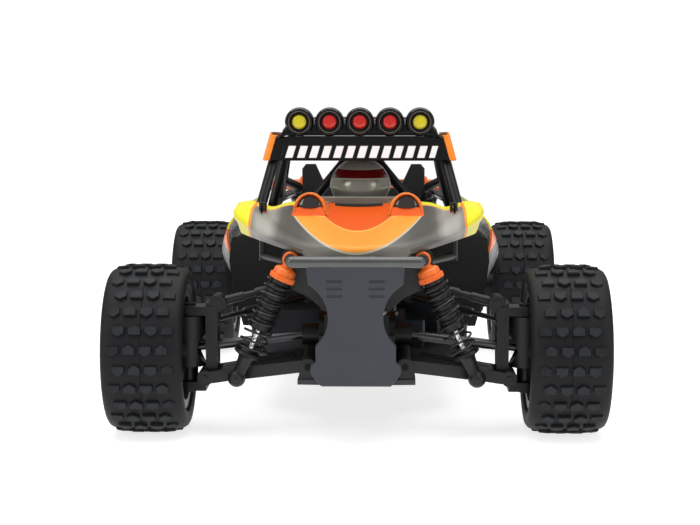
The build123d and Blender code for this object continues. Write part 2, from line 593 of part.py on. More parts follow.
def cage_lines():
    """End points of every cage tube. Tubes meet only at their ends."""
    a_low, a_top = (57, -62, 98), (45.5, -44, 141.5)
    b_low, b_top = (55, 34, 98), (44, 38, 142)
    bend = (50.9, 96, 115.1)
    tail, end = (55, 130, 101), (50, HALF_LENGTH - TUBE_R, 101)
    hoop = (30, 188, 46)
    roof_middle, low_middle = (0, b_top[1], b_top[2]), (0, b_low[1], b_low[2])
    v_foot = (36, b_low[1], b_low[2])
    sided = [
        (a_low, a_top), (b_low, b_top), (a_top, b_top), (a_low, b_low),
        (a_low, (56.5, -60, PLATE_TOP)), (b_low, (56.5, 38, PLATE_TOP)),
        (b_top, bend), (bend, tail), (b_low, tail), (tail, end), (end, hoop),
        (hoop, (13, 170, PLATE_TOP)), (roof_middle, b_top), (roof_middle, v_foot),
        (v_foot, b_low), (low_middle, v_foot), (bend, (43, 139, 108)),
    ]
    crossing = [a_top, end, hoop]
    lines = [((-x, y, z), (x, y, z)) for x, y, z in crossing]
    for start, finish in sided:
        lines.append((start, finish))
        lines.append(((-start[0], *start[1:]), (-finish[0], *finish[1:])))
    return lines


def roll_cage():
    """Each tube is its own solid, mitred against the tubes that share its end."""
    lines = cage_lines()
    solids = []
    for i, line in enumerate(lines):
        ends = [Vector(*line[0]), Vector(*line[1])]
        run = (ends[1] - ends[0]).normalized()
        cuts = []
        reach = [0.0, 0.0]
        for k, direction in ((0, run), (1, -run)):
            if line[k][2] == PLATE_TOP:
                cuts.append(Plane(origin=(0, 0, PLATE_TOP), z_dir=(0, 0, 1)))
                reach[k] = 2 * TUBE_R
            for other in lines[:i] + lines[i + 1:]:
                if line[k] not in other:
                    continue
                far = other[1] if other[0] == line[k] else other[0]
                away = (Vector(*far) - ends[k]).normalized()
                cuts.append(Plane(origin=ends[k], z_dir=direction - away))
                reach[k] = 3 * TUBE_R
        tube = rod(ends[0] - run * reach[0], ends[1] + run * reach[1], TUBE_R)
        for plane in cuts:
            tube = tube.split(plane, keep=Keep.TOP)
            tube = max(tube.solids(), key=lambda piece: piece.volume)
        solids.append(tube)
    return solids


# ---------------------------------------------------------------- body, roof and cockpit
def hood():
    """Nose and fender tops: a recess between the lamp arches, turned-down wheel arch lips."""
    sections = [
        (-174, [(24, 93.4), (26, 95.8), (13, 97.0), (0, 96.6)]),
        (-158, [(34, 95.2), (35.5, 98.2), (19, 100.4), (0, 98.6)]),
        (-130, [(49, 97.0), (51, 103.2), (27, 106.8), (0, 101.8)]),
        (-102, [(60.5, 96.5), (62.5, 108.6), (38, 110.4), (0, 105.6)]),
        (-66, [(63.5, 95), (65, 110.4), (42, 111.4), (0, 110.0)]),
    ]
    lofted = []
    for y, half in sections:
        outline = half + [(-x, z) for x, z in reversed(half[:-1])]
        lofted.append((y, list(reversed(outline))))
    shell = skin(lofted, SHELL)
    holes = [rod((s * 50, -100, 90), (s * 50, -100, 120), 2.6) for s in (-1, 1)]
    shell = cut(shell, *holes)
    return merge(shell, lamp_arch(1), lamp_arch(-1))


def lamp_arch(side):
    """Raised half-round tunnel on the hood, closed near its mouth by a dark glass."""
    x, z = side * ARCH_X, 111.0
    outer = rod((x, -112, z), (x, -68, z), ARCH_R)
    inner = rod((x, -120, z), (x, -60, z), ARCH_R - SHELL)
    legs = block(x - ARCH_R, x + ARCH_R, -112, -68, 106.5, z)
    between = block(x - ARCH_R + SHELL, x + ARCH_R - SHELL, -120, -60, 100, z)
    tunnel = cut(merge(outer, legs), inner, between, block(x - 20, x + 20, -130, -50, 90, 106.5))
    glass = rod((x, -110.5, z), (x, -109.3, z), ARCH_R - SHELL + 0.3)
    return merge(tunnel, cut(glass, block(x - 20, x + 20, -130, -50, 90, 108.5)))


def wheel_well():
    """Dark wall behind the left front wheel, under the hood's rear edge."""
    outline = [(30, 58), (52, 58), (54, 44), (63.5, 44), (69, 64), (71, 80), (69.5, 92.5),
               (61.5, 93.5), (61.5, 107), (30, 107)]
    return slab_xz(outline, -67.1, -65.85)


def side_panel():
    sections = [
        (-65.8, [(62.5, 110.4), (72, 98), (70, 80), (64, 62)]),
        (-20, [(61.5, 110), (79, 85), (72, 63), (63.4, 42)]),
        (50, [(60.5, 108), (78, 86), (71.5, 64), (63.4, 42)]),
        (92, [(60.5, 105), (71, 90), (68, 74), (64.5, 62)]),
    ]
    return skin(sections, SHELL)


def rear_deck():
    """Small sloping tail deck over the rear tubes."""
    outline = [(166, 104), (192, 108.2), (192, 109.6), (166, 105.4)]
    return slab_yz(outline, -64, 64)


def body_shell():
    return [hood(), *pair(side_panel()), *pair(wheel_well()), rear_deck()]


def level_ring(half_width, front_y, rear_y, z):
    """Level rectangle that is symmetric about the middle plane."""
    front = [(-half_width, front_y, z), (half_width, front_y, z)]
    return Wire.make_polygon(front + [(half_width, rear_y, z), (-half_width, rear_y, z)], close=True)


def roof():
    """Visor band, roof skin and the lamp bar with its five pods."""
    visor = Solid.make_loft([level_ring(51, -55, -53.6, 134), level_ring(46.5, -50, -48.6, 147)], ruled=True)
    rear_half = [(44, 147.2), (40, 150), (0, 151)]
    front_half = [(46.5, 147), (43, 149.4), (0, 150)]
    sections = []
    for y, half in ((-50, front_half), (40, rear_half)):
        outline = half + [(-x, z) for x, z in reversed(half[:-1])]
        sections.append((y, list(reversed(outline))))
    skin_panel = skin(sections, 1.5)
    base = Solid.make_loft([level_ring(44, -49.9, -26, 149.6), level_ring(41, -48, -30, 155)], ruled=True)
    pods = []
    for i in range(-2, 3):
        x = i * LAMP_PITCH
        pods += [rod((x, -49.5, LAMP_Z), (x, -38, LAMP_Z), LAMP_R), ball((x, -38, LAMP_Z), LAMP_R)]
    roof_solid = merge(visor, skin_panel, base, *pods)
    recess = [rod((i * LAMP_PITCH, -52, LAMP_Z), (i * LAMP_PITCH, -48, LAMP_Z), 5) for i in range(-2, 3)]
    return [cut(roof_solid, *recess).cut(block(-42, 42, -47.5, -20, 140, 148.2)).solids()[0]]


def lamp_lenses():
    lenses = []
    for i in range(-2, 3):
        x = i * LAMP_PITCH
        rim = rod((x, -48, LAMP_Z), (x, -49.2, LAMP_Z), 4.9)
        lenses.append(merge(rim, rod((x, -49.2, LAMP_Z), (x, -50, LAMP_Z), 3.9)))
    return lenses


def driver():
    """Helmet with its visor band, on a plain driver's bust."""
    x, y, z = HELMET
    head = ball(HELMET, HELMET_R)
    head = cut(head, block(-30, 30, -60, 60, 60, z - 13))
    band = cut(ball(HELMET, HELMET_R + 0.7), ball(HELMET, HELMET_R + 0.02))
    keep = block(-15, 15, y - 30, y - 4, z - 8, z + 3)
    visor = (band & keep).solids()[0]
    neck = rod((x, y + 3, 98), (x, y + 3, z - 13), 8)
    chest = Solid.make_loft([
        Wire.make_polygon([(-17, -26, 61.7), (17, -26, 61.7), (17, 12, 61.7), (-17, 12, 61.7)], close=True),
        Wire.make_polygon([(-26, -20, 88), (26, -20, 88), (26, 10, 88), (-26, 10, 88)], close=True),
        Wire.make_polygon([(-12, -14, 99), (12, -14, 99), (12, 4, 99), (-12, 4, 99)], close=True),
    ], ruled=True)
    return [head, visor, merge(neck, chest)]


def cockpit_tray():
    """Open tub under the driver, with the dash panel on its front wall."""
    outer = block(-49, 49, -61.5, 28, 60, 94)
    inner = block(-47.7, 47.7, -60.2, 26.7, 61.5, 100)
    tub = cut(outer, inner)
    dash = Solid.make_loft([
        Wire.make_polygon([(-30, -61.5, 94), (30, -61.5, 94), (30, -56, 94), (-30, -56, 94)], close=True),
        Wire.make_polygon([(-22, -65, 114), (22, -65, 114), (22, -50, 114), (-22, -50, 114)], close=True),
    ], ruled=True)
    wall = block(-30, 30, -61.5, -56, 90, 94.2)
    return [merge(tub, wall, dash)]


# ---------------------------------------------------------------- battery, radio and fasteners
def battery_pack():
    """Six-cell stick pack: two rows of cells in a wrap, with end caps."""
    pack = block(-51, -9, -84, 42, PLATE_TOP, 55)
    return [fillet(pack.edges().filter_by(Axis.Y), 6).solids()[0]]


def radio_gear():
    """Speed controller with heat sink, and the receiver."""
    controller = block(9, 45, 0, 38, PLATE_TOP, 50)
    fins = [block(11 + 4 * i, 13 + 4 * i, 3, 35, 50, 57) for i in range(8)]
    receiver = block(12, 36, -60, -22, PLATE_TOP, 46)
    return [merge(controller, *fins), fillet(receiver.edges().filter_by(Axis.Z), 2).solids()[0]]


def screw(x, y, z, up):
    """Pan-head screw with a cross recess, its head on the face at z."""
    top = z + up * SCREW_HEAD
    head = rod((x, y, z), (x, y, top), 2.6)
    recess = [block(x - 1.5, x + 1.5, y - 0.3, y + 0.3, *sorted((top - up * 0.8, top + up))),
              block(x - 0.3, x + 0.3, y - 1.5, y + 1.5, *sorted((top - up * 0.8, top + up)))]
    return cut(head, *recess)


def body_clip(side):
    """Bent wire clip through a body post."""
    x = side * 50
    legs = [rod((x, -106, 112), (x, -95.5, 112), 0.6)]
    loop = Solid.make_torus(2.6, 0.6, Plane(origin=(x, -108.4, 112), z_dir=(1, 0, 0)))
    return merge(loop, *legs)


def fasteners():
    """Chassis screws, gearbox screws, inner hinge pins and the two body clips."""
    solids = [screw(x, y, PLATE_BOTTOM + SCREW_HEAD, -1) for x, y in chassis_screws()]
    for x_side in (1, -1):
        for y_side in (1, -1):
            y = y_side * AXLE_Y
            x = x_side * ARM_IN[0]
            solids.append(rod((x, y - 25.4, ARM_IN[1]), (x, y + 25.4, ARM_IN[1]), PIN_R))
            for y_screw in (y - 15, y + 15):
                solids.append(screw(x_side * 12, y_screw, 62, 1))
    return solids + [body_clip(1), body_clip(-1)]


# ---------------------------------------------------------------- writing
CORNER = {
    "arm": lower_arm, "shock_body": shock_body, "shock_shaft": shock_shaft, "spring": spring,
}


def corner_parts(end):
    parts = {name: make(end) for name, make in CORNER.items()}
    parts["hub_carrier"] = front_carrier() if end == "front" else rear_carrier()
    parts["wheel"] = wheel()
    parts["tyre"] = tyre()
    parts["upper_link"] = upper_link()
    parts["driveshaft"] = driveshaft()
    if end == "front":
        parts["knuckle"] = knuckle()
        parts["tie_rod"] = tie_rod()
    return parts


def all_parts():
    parts = {}
    for end in ("front", "rear"):
        for name, solids in corner_parts(end).items():
            if end == "rear":
                solids = [solid.mirror(Plane.XZ) for solid in solids]
            parts[f"{end}_{name}_left"] = solids
            parts[f"{end}_{name}_right"] = [solid.mirror(Plane.YZ) for solid in solids]
    gearboxes = gearbox()
    parts.update({
        "servo_saver_crank": crank(1),
        "idler_crank": crank(-1),
        "drag_link": drag_link(),
        "spur_gear": spur_gear(),
        "motor_pinion": motor_pinion(),
        "motor": motor(),
        "steering_servo": steering_servo(),
        "gearbox_cases": gearboxes + [solid.mirror(Plane.XZ) for solid in gearboxes],
        "shock_towers": shock_towers(),
        "chassis_plate": chassis_plate(),
        "front_bumper": front_bumper(),
        "roll_cage": roll_cage(),
        "body_shell": body_shell(),
        "roof_light_bar": roof(),
        "lamp_lenses": lamp_lenses(),
        "driver_figure": driver(),
        "cockpit_tray": cockpit_tray(),
        "battery_pack": battery_pack(),
        "radio_gear": radio_gear(),
        "fasteners": fasteners(),
    })
    return parts


def main():
    os.makedirs("parts", exist_ok=True)
    for name, solids in all_parts().items():
        plain = [Solid(solid.wrapped) for solid in solids]
        export_step(Compound(children=plain, label=name), f"parts/{name}.step")


main()
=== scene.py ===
"""Looks of the desert sand-rail buggy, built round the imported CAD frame.

Shapes are written in millimetres and become metres in new_piece. The car faces -Y.
"""
import json
import math

import bmesh
import bpy
import numpy as np
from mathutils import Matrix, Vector


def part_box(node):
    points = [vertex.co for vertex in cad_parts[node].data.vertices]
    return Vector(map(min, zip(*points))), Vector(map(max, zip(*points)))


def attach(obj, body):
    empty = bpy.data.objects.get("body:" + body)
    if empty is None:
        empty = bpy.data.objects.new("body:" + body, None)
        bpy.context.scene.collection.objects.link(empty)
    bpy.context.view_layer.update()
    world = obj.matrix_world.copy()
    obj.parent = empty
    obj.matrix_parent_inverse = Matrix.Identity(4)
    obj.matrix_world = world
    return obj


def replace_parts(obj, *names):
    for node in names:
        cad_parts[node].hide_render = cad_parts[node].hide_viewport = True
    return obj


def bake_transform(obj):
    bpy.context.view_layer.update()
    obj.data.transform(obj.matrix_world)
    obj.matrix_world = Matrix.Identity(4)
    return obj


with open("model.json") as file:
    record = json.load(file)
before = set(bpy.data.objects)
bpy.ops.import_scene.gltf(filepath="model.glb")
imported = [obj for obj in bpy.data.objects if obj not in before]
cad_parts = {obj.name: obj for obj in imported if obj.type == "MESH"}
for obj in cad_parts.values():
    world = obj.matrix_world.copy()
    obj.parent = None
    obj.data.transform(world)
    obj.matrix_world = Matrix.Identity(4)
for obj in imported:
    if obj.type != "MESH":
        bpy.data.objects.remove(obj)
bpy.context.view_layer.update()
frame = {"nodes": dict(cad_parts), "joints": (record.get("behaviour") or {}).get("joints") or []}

MM = 0.001
WELD = 1e-6
SIDES = {"left": 1, "right": -1}
ENDS = {"front": -1, "rear": 1}
JOINTS = {joint["name"]: joint for joint in frame["joints"]}


# ---------------------------------------------------------------- shader helpers
class Field:
    """A number in a node tree that Python arithmetic can work on."""

    def __init__(self, tree, value):
        self.tree = tree
        self.value = value

    def _math(self, operation, *others, clamp=False):
        node = self.tree.nodes.new("ShaderNodeMath")
        node.operation = operation
        node.use_clamp = clamp
        for socket, value in zip(node.inputs, (self, *others)):
            value = value.value if isinstance(value, Field) else value
            if isinstance(value, (int, float)):
                socket.default_value = value
            else:
                self.tree.links.new(value, socket)
        return Field(self.tree, node.outputs[0])

    def __add__(self, other):
        return self._math("ADD", other)

    def __sub__(self, other):
        return self._math("SUBTRACT", other)

    def __mul__(self, other):
        return self._math("MULTIPLY", other)

    def __neg__(self):
        return self._math("MULTIPLY", -1.0)

    def size(self):
        return self._math("ABSOLUTE")

    def most(self, other):
        return self._math("MAXIMUM", other)

    def least(self, other):
        return self._math("MINIMUM", other)

    def power(self, exponent):
        return self._math("POWER", exponent)

    def wave(self):
        return self._math("SINE")

    def above(self, edge, soft=0.25):
        """1 where this is over the edge, 0 under it, over a narrow soft band."""
        return ((self - edge) * (1.0 / soft))._math("ADD", 0.5, clamp=True)

    def below(self, edge, soft=0.25):
        """1 where this is under the edge, 0 over it."""
        return (-(self - edge) * (1.0 / soft))._math("ADD", 0.5, clamp=True)

    def between(self, low, high, soft=0.25):
        return self.above(low, soft) * self.below(high, soft)


class Paint:
    """A node material that starts from one colour and is painted over, field by field."""

    def __init__(self, name, color, roughness=0.5, metallic=0.0, coat=0.0, specular=0.5):
        self.material = bpy.data.materials.new(name)
        self.material.use_nodes = True
        self.tree = self.material.node_tree
        self.shader = self.tree.nodes["Principled BSDF"]
        self.shader.inputs["Metallic"].default_value = metallic
        self.shader.inputs["Coat Weight"].default_value = coat
        self.shader.inputs["Coat Roughness"].default_value = 0.06
        self.shader.inputs["Specular IOR Level"].default_value = specular
        self.coordinates = self.tree.nodes.new("ShaderNodeTexCoord").outputs["Object"]
        self.color = self._rgb(color)
        self.shader.inputs["Roughness"].default_value = roughness
        self.base_rough = roughness
        self.rough = None
        self.height = None

    def _rgb(self, color):
        node = self.tree.nodes.new("ShaderNodeRGB")
        node.outputs[0].default_value = (*color, 1)
        return node.outputs[0]

    def place(self):
        """The three coordinates of the surface point, in millimetres."""
        split = self.tree.nodes.new("ShaderNodeSeparateXYZ")
        self.tree.links.new(self.coordinates, split.inputs[0])
        return [Field(self.tree, split.outputs[i]) * 1000.0 for i in range(3)]

    def noise(self, per_mm, detail=3.0, stretch=(1, 1, 1)):
        """Noise from 0 to 1 whose grains are about 1 / per_mm wide."""
        mapping = self.tree.nodes.new("ShaderNodeMapping")
        mapping.inputs["Scale"].default_value = [1000 * per_mm * s for s in stretch]
        self.tree.links.new(self.coordinates, mapping.inputs["Vector"])
        node = self.tree.nodes.new("ShaderNodeTexNoise")
        node.inputs["Scale"].default_value = 1.0
        node.inputs["Detail"].default_value = detail
        self.tree.links.new(mapping.outputs[0], node.inputs["Vector"])
        return Field(self.tree, node.outputs["Fac"])

    def over(self, mask, color):
        """Lays a colour over what is there, as far as the mask lets it."""
        mix = self.tree.nodes.new("ShaderNodeMix")
        mix.data_type = "RGBA"
        self.tree.links.new(mask.value, mix.inputs["Factor"])
        self.tree.links.new(self.color, mix.inputs["A"])
        self.tree.links.new(self._rgb(color), mix.inputs["B"])
        self.color = mix.outputs["Result"]
        return self

    def gloss(self, field, amount):
        """Roughness goes up by amount where the field is 1, and down where it is 0."""
        change = (field - 0.5) * amount
        self.rough = change + self.base_rough if self.rough is None else self.rough + change
        return self

    def bump(self, height, depth_mm):
        """Adds relief that stands depth_mm out where the height is 1."""
        term = height * depth_mm
        self.height = term if self.height is None else self.height + term
        return self

    def finish(self):
        """Wires colour, roughness and relief into the shader and gives the material."""
        self.tree.links.new(self.color, self.shader.inputs["Base Color"])
        if self.rough is not None:
            self.tree.links.new(self.rough.value, self.shader.inputs["Roughness"])
        if self.height is not None:
            node = self.tree.nodes.new("ShaderNodeBump")
            node.inputs["Distance"].default_value = MM
            self.tree.links.new(self.height.value, node.inputs["Height"])
            self.tree.links.new(node.outputs[0], self.shader.inputs["Normal"])
        return self.material


def moulded(name, color, rough, grain=0.02, lighter=1.35, **shader):
    """Moulded plastic: fine grain, slow shade changes and slightly uneven gloss."""
    paint = Paint(name, color, rough, **shader)
    slow = paint.noise(0.08)
    fine = paint.noise(2.2)
    paint.over(slow.above(0.55, 0.5) * 0.6, tuple(min(1.0, c * lighter) for c in color))
    paint.gloss(slow, 0.18).gloss(fine, 0.1)
    if grain:
        paint.bump(fine, grain)
    return paint.finish()


def turned_metal(name, color, rough, stretch=(1, 1, 1)):
    """Metal with fine drawn or turned marks."""
    paint = Paint(name, color, rough, metallic=1.0)
    marks = paint.noise(1.6, 2.0, stretch)
    paint.over(marks.above(0.6, 0.4) * 0.5, tuple(c * 0.7 for c in color))
    return paint.gloss(marks, 0.3).bump(marks, 0.006).finish()


# ---------------------------------------------------------------- mesh helpers
def linked(name, data):
    """A new object in the scene."""
    piece = bpy.data.objects.new(name, data)
    bpy.context.scene.collection.objects.link(piece)
    return piece


def new_piece(name, verts, faces, material, body, slot, sharp=40):
    """A mesh piece in millimetres that rides on a body, crisp where it bends over `sharp` degrees."""
    mesh = bpy.data.meshes.new(name)
    mesh.from_pydata([[c * MM for c in v] for v in verts], [], faces)
    bm = bmesh.new()
    bm.from_mesh(mesh)
    bmesh.ops.remove_doubles(bm, verts=bm.verts, dist=WELD)
    bmesh.ops.recalc_face_normals(bm, faces=bm.faces)
    for edge in bm.edges:
        edge.smooth = len(edge.link_faces) == 2 and edge.calc_face_angle(0) < math.radians(sharp)
    for face in bm.faces:
        face.smooth = True
    bm.to_mesh(mesh)
    bm.free()
    mesh.materials.append(material)
    piece = linked(name, mesh)
    if body:
        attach(piece, body)
    return piece


def fixed(name, mesh, material, slot, sharp=40):
    """A piece that rides on the chassis."""
    return new_piece(name, *mesh, material, "chassis", slot, sharp)


def basis(axis):
    """Two unit vectors square to the axis."""
    axis = Vector(axis).normalized()
    side = axis.orthogonal().normalized()
    return side, axis.cross(side)


def lathe(profile, origin, axis, steps=64):
    """Turns (along, radius) points about the axis. A radius of zero closes the end."""
    axis = Vector(axis).normalized()
    u, v = basis(axis)

    def place(i, j):
        along, radius = profile[i]
        turn = 2 * math.pi * (j % steps) / steps
        return Vector(origin) + axis * along + (u * math.cos(turn) + v * math.sin(turn)) * radius

    return grid(len(profile), steps + 1, place)


def ring_faces(a, b, n):
    """Quads between two rings of n points, whose first points are numbered a and b."""
    return [(a + k, a + (k + 1) % n, b + (k + 1) % n, b + k) for k in range(n)]


def sweep(points, radius, steps=12, closed=False):
    """A tube along a line of points, its ring carried from point to point."""
    points = [Vector(p) for p in points]
    count = len(points)
    verts, faces = [], []
    side = None
    for i, point in enumerate(points):
        ahead = points[(i + 1) % count] if closed or i + 1 < count else point
        behind = points[i - 1] if closed or i > 0 else point
        run = (ahead - behind).normalized()
        side = basis(run)[0] if side is None else (side - run * side.dot(run)).normalized()
        other = run.cross(side)
        for k in range(steps):
            turn = 2 * math.pi * k / steps
            verts.append(point + (side * math.cos(turn) + other * math.sin(turn)) * radius)
    for i in range(count if closed else count - 1):
        faces += ring_faces(i * steps, (i + 1) % count * steps, steps)
    if not closed:
        faces.append(tuple(reversed(range(steps))))
        faces.append(tuple((count - 1) * steps + k for k in range(steps)))
    return verts, faces


def grid(rows, cols, place):
    """A sheet of quads; place(i, j) gives each corner."""
    verts = [place(i, j) for i in range(rows) for j in range(cols)]
    faces = [(i * cols + j, i * cols + j + 1, (i + 1) * cols + j + 1, (i + 1) * cols + j)
             for i in range(rows - 1) for j in range(cols - 1)]
    return verts, faces


def slab(near, far):
    """The solid between two outlines that have the same number of points."""
    n = len(near)
    ends = [tuple(range(n)), tuple(reversed(range(n, 2 * n)))]
    return near + far, ends + ring_faces(0, n, n)


def joined(*parts):
    """Several meshes as one."""
    verts, faces = [], []
    for part_verts, part_faces in parts:
        start = len(verts)
        verts += list(part_verts)
        faces += [tuple(start + i for i in face) for face in part_faces]
    return verts, faces


def mirrored(part):
    """The same mesh on the car's other side."""
    verts, faces = part
    return [(-v[0], v[1], v[2]) for v in verts], [tuple(reversed(face)) for face in faces]


def both_sides(*parts):
    """Meshes of the left side together with their mirror images."""
    return joined(*parts, *[mirrored(part) for part in parts])


def curve(keys, at):
    """Smooth curve through (position, value) keys."""
    xs, ys = zip(*keys)
    slopes = np.gradient(ys, xs)
    i = int(np.clip(np.searchsorted(xs, at) - 1, 0, len(xs) - 2))
    h = xs[i + 1] - xs[i]
    t = min(1.0, max(0.0, (at - xs[i]) / h))
    a, b = ys[i], ys[i + 1]
    return ((2 * t**3 - 3 * t**2 + 1) * a + (t**3 - 2 * t**2 + t) * h * slopes[i]
            + (3 * t**2 - 2 * t**3) * b + (t**3 - t**2) * h * slopes[i + 1])


def thicken(piece, mm, offset=-1):
    """Turns a sheet into a wall; it grows against its normals, or along them with offset 1."""
    solid = piece.modifiers.new("wall", "SOLIDIFY")
    solid.thickness = mm * MM
    solid.offset = offset


def round_edges(piece, mm, segments=3):
    """Rounds every edge that bends more than 35 degrees."""
    bevel = piece.modifiers.new("edges", "BEVEL")
    bevel.width = mm * MM
    bevel.segments = segments
    bevel.limit_method = "ANGLE"
    bevel.angle_limit = math.radians(35)


def box_mm(node):
    """A CAD node's lowest and highest corners in millimetres."""
    low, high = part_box(node)
    return low / MM, high / MM


def joint_mm(name):
    """A joint's place in millimetres."""
    return Vector(JOINTS[name]["pos_m"]) / MM


def node_material(material, name):
    """Gives a CAD node a material in place of its plain one."""
    mesh = frame["nodes"][name].data
    mesh.materials.clear()
    mesh.materials.append(material)


# ---------------------------------------------------------------- materials
CARCASS_R = 40.9


def rubber():
    """Matt rubber, paler on the lug tops, partly from wear and partly as a painted highlight, so the
    grooves between them stay dark as painted shade.
    """
    low, high = box_mm("rear_tyre_left")
    paint = Paint("tyre_rubber", (0.0042, 0.0046, 0.0054), 0.6, specular=0.25)
    slow = paint.noise(0.06)
    fine = paint.noise(1.8, 5.0)
    x, y, z = paint.place()
    along, up = y.size() - (low.y + high.y) / 2, z - (low.z + high.z) / 2
    # Painted light: the lug tops are painted paler, partly for wear and partly as a painted highlight,
    # which leaves painted shade in the grooves.
    lug_tops_worn_and_lit = (along * along + up * up).power(0.5).above(CARCASS_R + 1.1, 1.0)
    paint.over(slow.above(0.5, 0.5) * 0.7, (0.007, 0.0075, 0.009))
    paint.over(lug_tops_worn_and_lit * (slow * 0.3 + 0.7), (0.017, 0.0195, 0.023))
    return paint.gloss(slow, 0.2).gloss(fine, 0.12).bump(fine, 0.03).finish()


BLACK = moulded("moulded_black", (0.0065, 0.0065, 0.007), 0.42, specular=0.4)
SATIN = moulded("cage_black", (0.006, 0.006, 0.0065), 0.33, grain=0.008, specular=0.4)
GLOSS = moulded("roof_black", (0.004, 0.004, 0.0045), 0.16, grain=0, specular=0.35)
RIM = moulded("rim_black", (0.010, 0.0085, 0.007), 0.36, grain=0.01)
RUBBER = rubber()
STEEL = turned_metal("polished_rod", (0.72, 0.72, 0.70), 0.22)
DARK_STEEL = turned_metal("dark_steel", (0.10, 0.10, 0.105), 0.38)
WIRE = moulded("spring_wire", (0.012, 0.012, 0.013), 0.3, grain=0)
ORANGE = moulded("cap_orange", (0.90, 0.17, 0.02), 0.35, grain=0.01, lighter=1.2)
BAR = moulded("bumper_bar", (0.055, 0.058, 0.055), 0.16, grain=0, coat=0.5)
GLASS = moulded("arch_glass", (0.022, 0.020, 0.017), 0.06, grain=0, coat=0.8)
VISOR = moulded("helmet_visor", (0.42, 0.41, 0.35), 0.24, grain=0, metallic=0.4)
PALE = moulded("helmet_rim", (0.66, 0.64, 0.58), 0.3, grain=0, lighter=1.1)
RING = moulded("lens_ring", (0.10, 0.085, 0.065), 0.3, grain=0)
ARCH_ORANGE = moulded("arch_orange", (0.90, 0.24, 0.012), 0.25, grain=0, coat=0.5, lighter=1.1)
DEEP_ORANGE = moulded("sill_orange", (0.86, 0.125, 0.006), 0.2, grain=0, coat=0.5, lighter=1.1)


# ---------------------------------------------------------------- tyres
TREAD_ROWS = 27
LUG_COLUMNS = (-12.0, -4.1, 3.9, 11.8)
LUG_SHIFT = 1.3
SHOULDER = 11.0


def carcass(outer_r, half_width, bead_r):
    """Profile of the tyre from bead to bead, as (along, radius)."""
    side = [(0.80, bead_r), (0.80, bead_r + 2.6), (0.87, bead_r + 3.4), (0.955, bead_r + 4.3),
            (0.99, bead_r + 6.0), (1.0, bead_r + 8.0), (0.985, bead_r + 9.8), (0.94, bead_r + 11.2),
            (0.87, outer_r - 0.75), (0.77, outer_r - 0.2), (0.66, outer_r)]
    seam = [(0.012, outer_r), (0.0, outer_r + 0.28), (-0.012, outer_r)]
    profile = side + seam + [(-a, r) for a, r in reversed(side)]
    return [(a * half_width, r) for a, r in profile]


def lug_outline(point_up):
    """Five-sided lug, 5.9 mm wide across and 5 mm along the tyre's turn."""
    flip = 1 if point_up else -1
    corners = ((-2.95, -2.1), (2.95, -2.1), (2.95, 1.1), (0.0, 2.9), (-2.95, 1.1))
    return [(across, turn * flip) for across, turn in corners]


def lugs(top_r):
    """Rows of five-sided blocks; every other row is shifted, and the outer columns slope down."""
    verts, faces = [], []
    for row in range(TREAD_ROWS):
        around = 2 * math.pi * row / TREAD_ROWS
        shift = LUG_SHIFT if row % 2 else -LUG_SHIFT
        for column, across in enumerate(LUG_COLUMNS):
            outline = lug_outline(column % 2 == 1)
            start = len(verts)
            top = top_r - (0.5 if abs(across + shift) > SHOULDER else 0.0)
            for radius, scale in ((CARCASS_R - 1.2, 1.1), (top - 0.35, 0.99), (top, 0.88)):
                for x, turn in outline:
                    angle = around + turn * scale / top_r
                    lean = 0.5 if abs(across + shift + x) > SHOULDER + 2.2 else 0.0
                    r = radius - lean
                    along = across + shift + x * scale
                    verts.append((along, r * math.cos(angle), r * math.sin(angle)))
            n = len(outline)
            for first in (start, start + n):
                faces += ring_faces(first, first + n, n)
            faces.append(tuple(start + 2 * n + k for k in range(n)))
    return verts, faces


def tyre(end, side):
    """Carcass and lugs, fitted to the CAD tyre's box."""
    low, high = box_mm(f"{end}_tyre_{side}")
    centre = (low + high) / 2
    half = (high.x - low.x) / 2
    top_r = (high.z - low.z) / 2
    bead_r = box_mm(f"{end}_wheel_{side}")[1].z - centre.z - 2.4
    ring = lathe(carcass(CARCASS_R, half, bead_r), (0, 0, 0), (1, 0, 0), 108)
    verts, faces = joined(ring, lugs(top_r - 0.02))
    flip = SIDES[side]
    verts = [(centre.x + v[0] * flip, centre.y + v[1], centre.z + v[2]) for v in verts]
    body = f"{end}_wheel_{side}"
    piece = new_piece(f"tyre_{end}_{side}", verts, faces, RUBBER, body, "tyre_rubber", sharp=30)
    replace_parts(piece, f"{end}_tyre_{side}")


# ---------------------------------------------------------------- springs and shocks
def shock_line(end, side):
    """Top eye and unit direction down the shock, read from its joints."""
    top = joint_mm(f"{end}_shock_top_hinge_{side}")
    run = -Vector(JOINTS[f"{end}_shock_slide_{side}"]["axis"])
    return top, run.normalized()


SHOCK = {"front": {"tube": 38.0, "seat": 50.5, "body_r": 5.8, "coil_r": 6.6, "turns": 8.5,
                   "low_eye": (59.5, 30.5)},
         "rear": {"tube": 56.0, "seat": 74.5, "body_r": 5.6, "coil_r": 6.8, "turns": 10.5,
                  "low_eye": (60.0, 31.0)}}
SPRING_START = 12.0
BALL_R = 4.45
WIRE_R = 0.55
COIL_STEPS = 28


def spring(end, side):
    """Coil with closed ends that runs between the shock's cylinder and its rod."""
    size = SHOCK[end]
    top, run = shock_line(end, side)
    u, v = basis(run)
    start, stop = SPRING_START, size["seat"] - 0.6
    count = int(size["turns"] * COIL_STEPS)
    points = []
    for i in range(count + 1):
        part = i / count
        closed_end = 0.5 - 0.5 * math.cos(math.pi * part)
        along = start + (stop - start) * (0.35 * closed_end + 0.65 * part)
        turn = 2 * math.pi * size["turns"] * part
        points.append(top + run * along + (u * math.cos(turn) + v * math.sin(turn)) * size["coil_r"])
    coil = sweep(points, WIRE_R, 8)
    piece = new_piece(f"spring_coil_{end}_{side}", *coil, WIRE, None, "spring_wire")
    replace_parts(piece, f"{end}_spring_{side}")
    (top + run * start) * MM
    (top + run * stop) * MM
    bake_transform(piece)


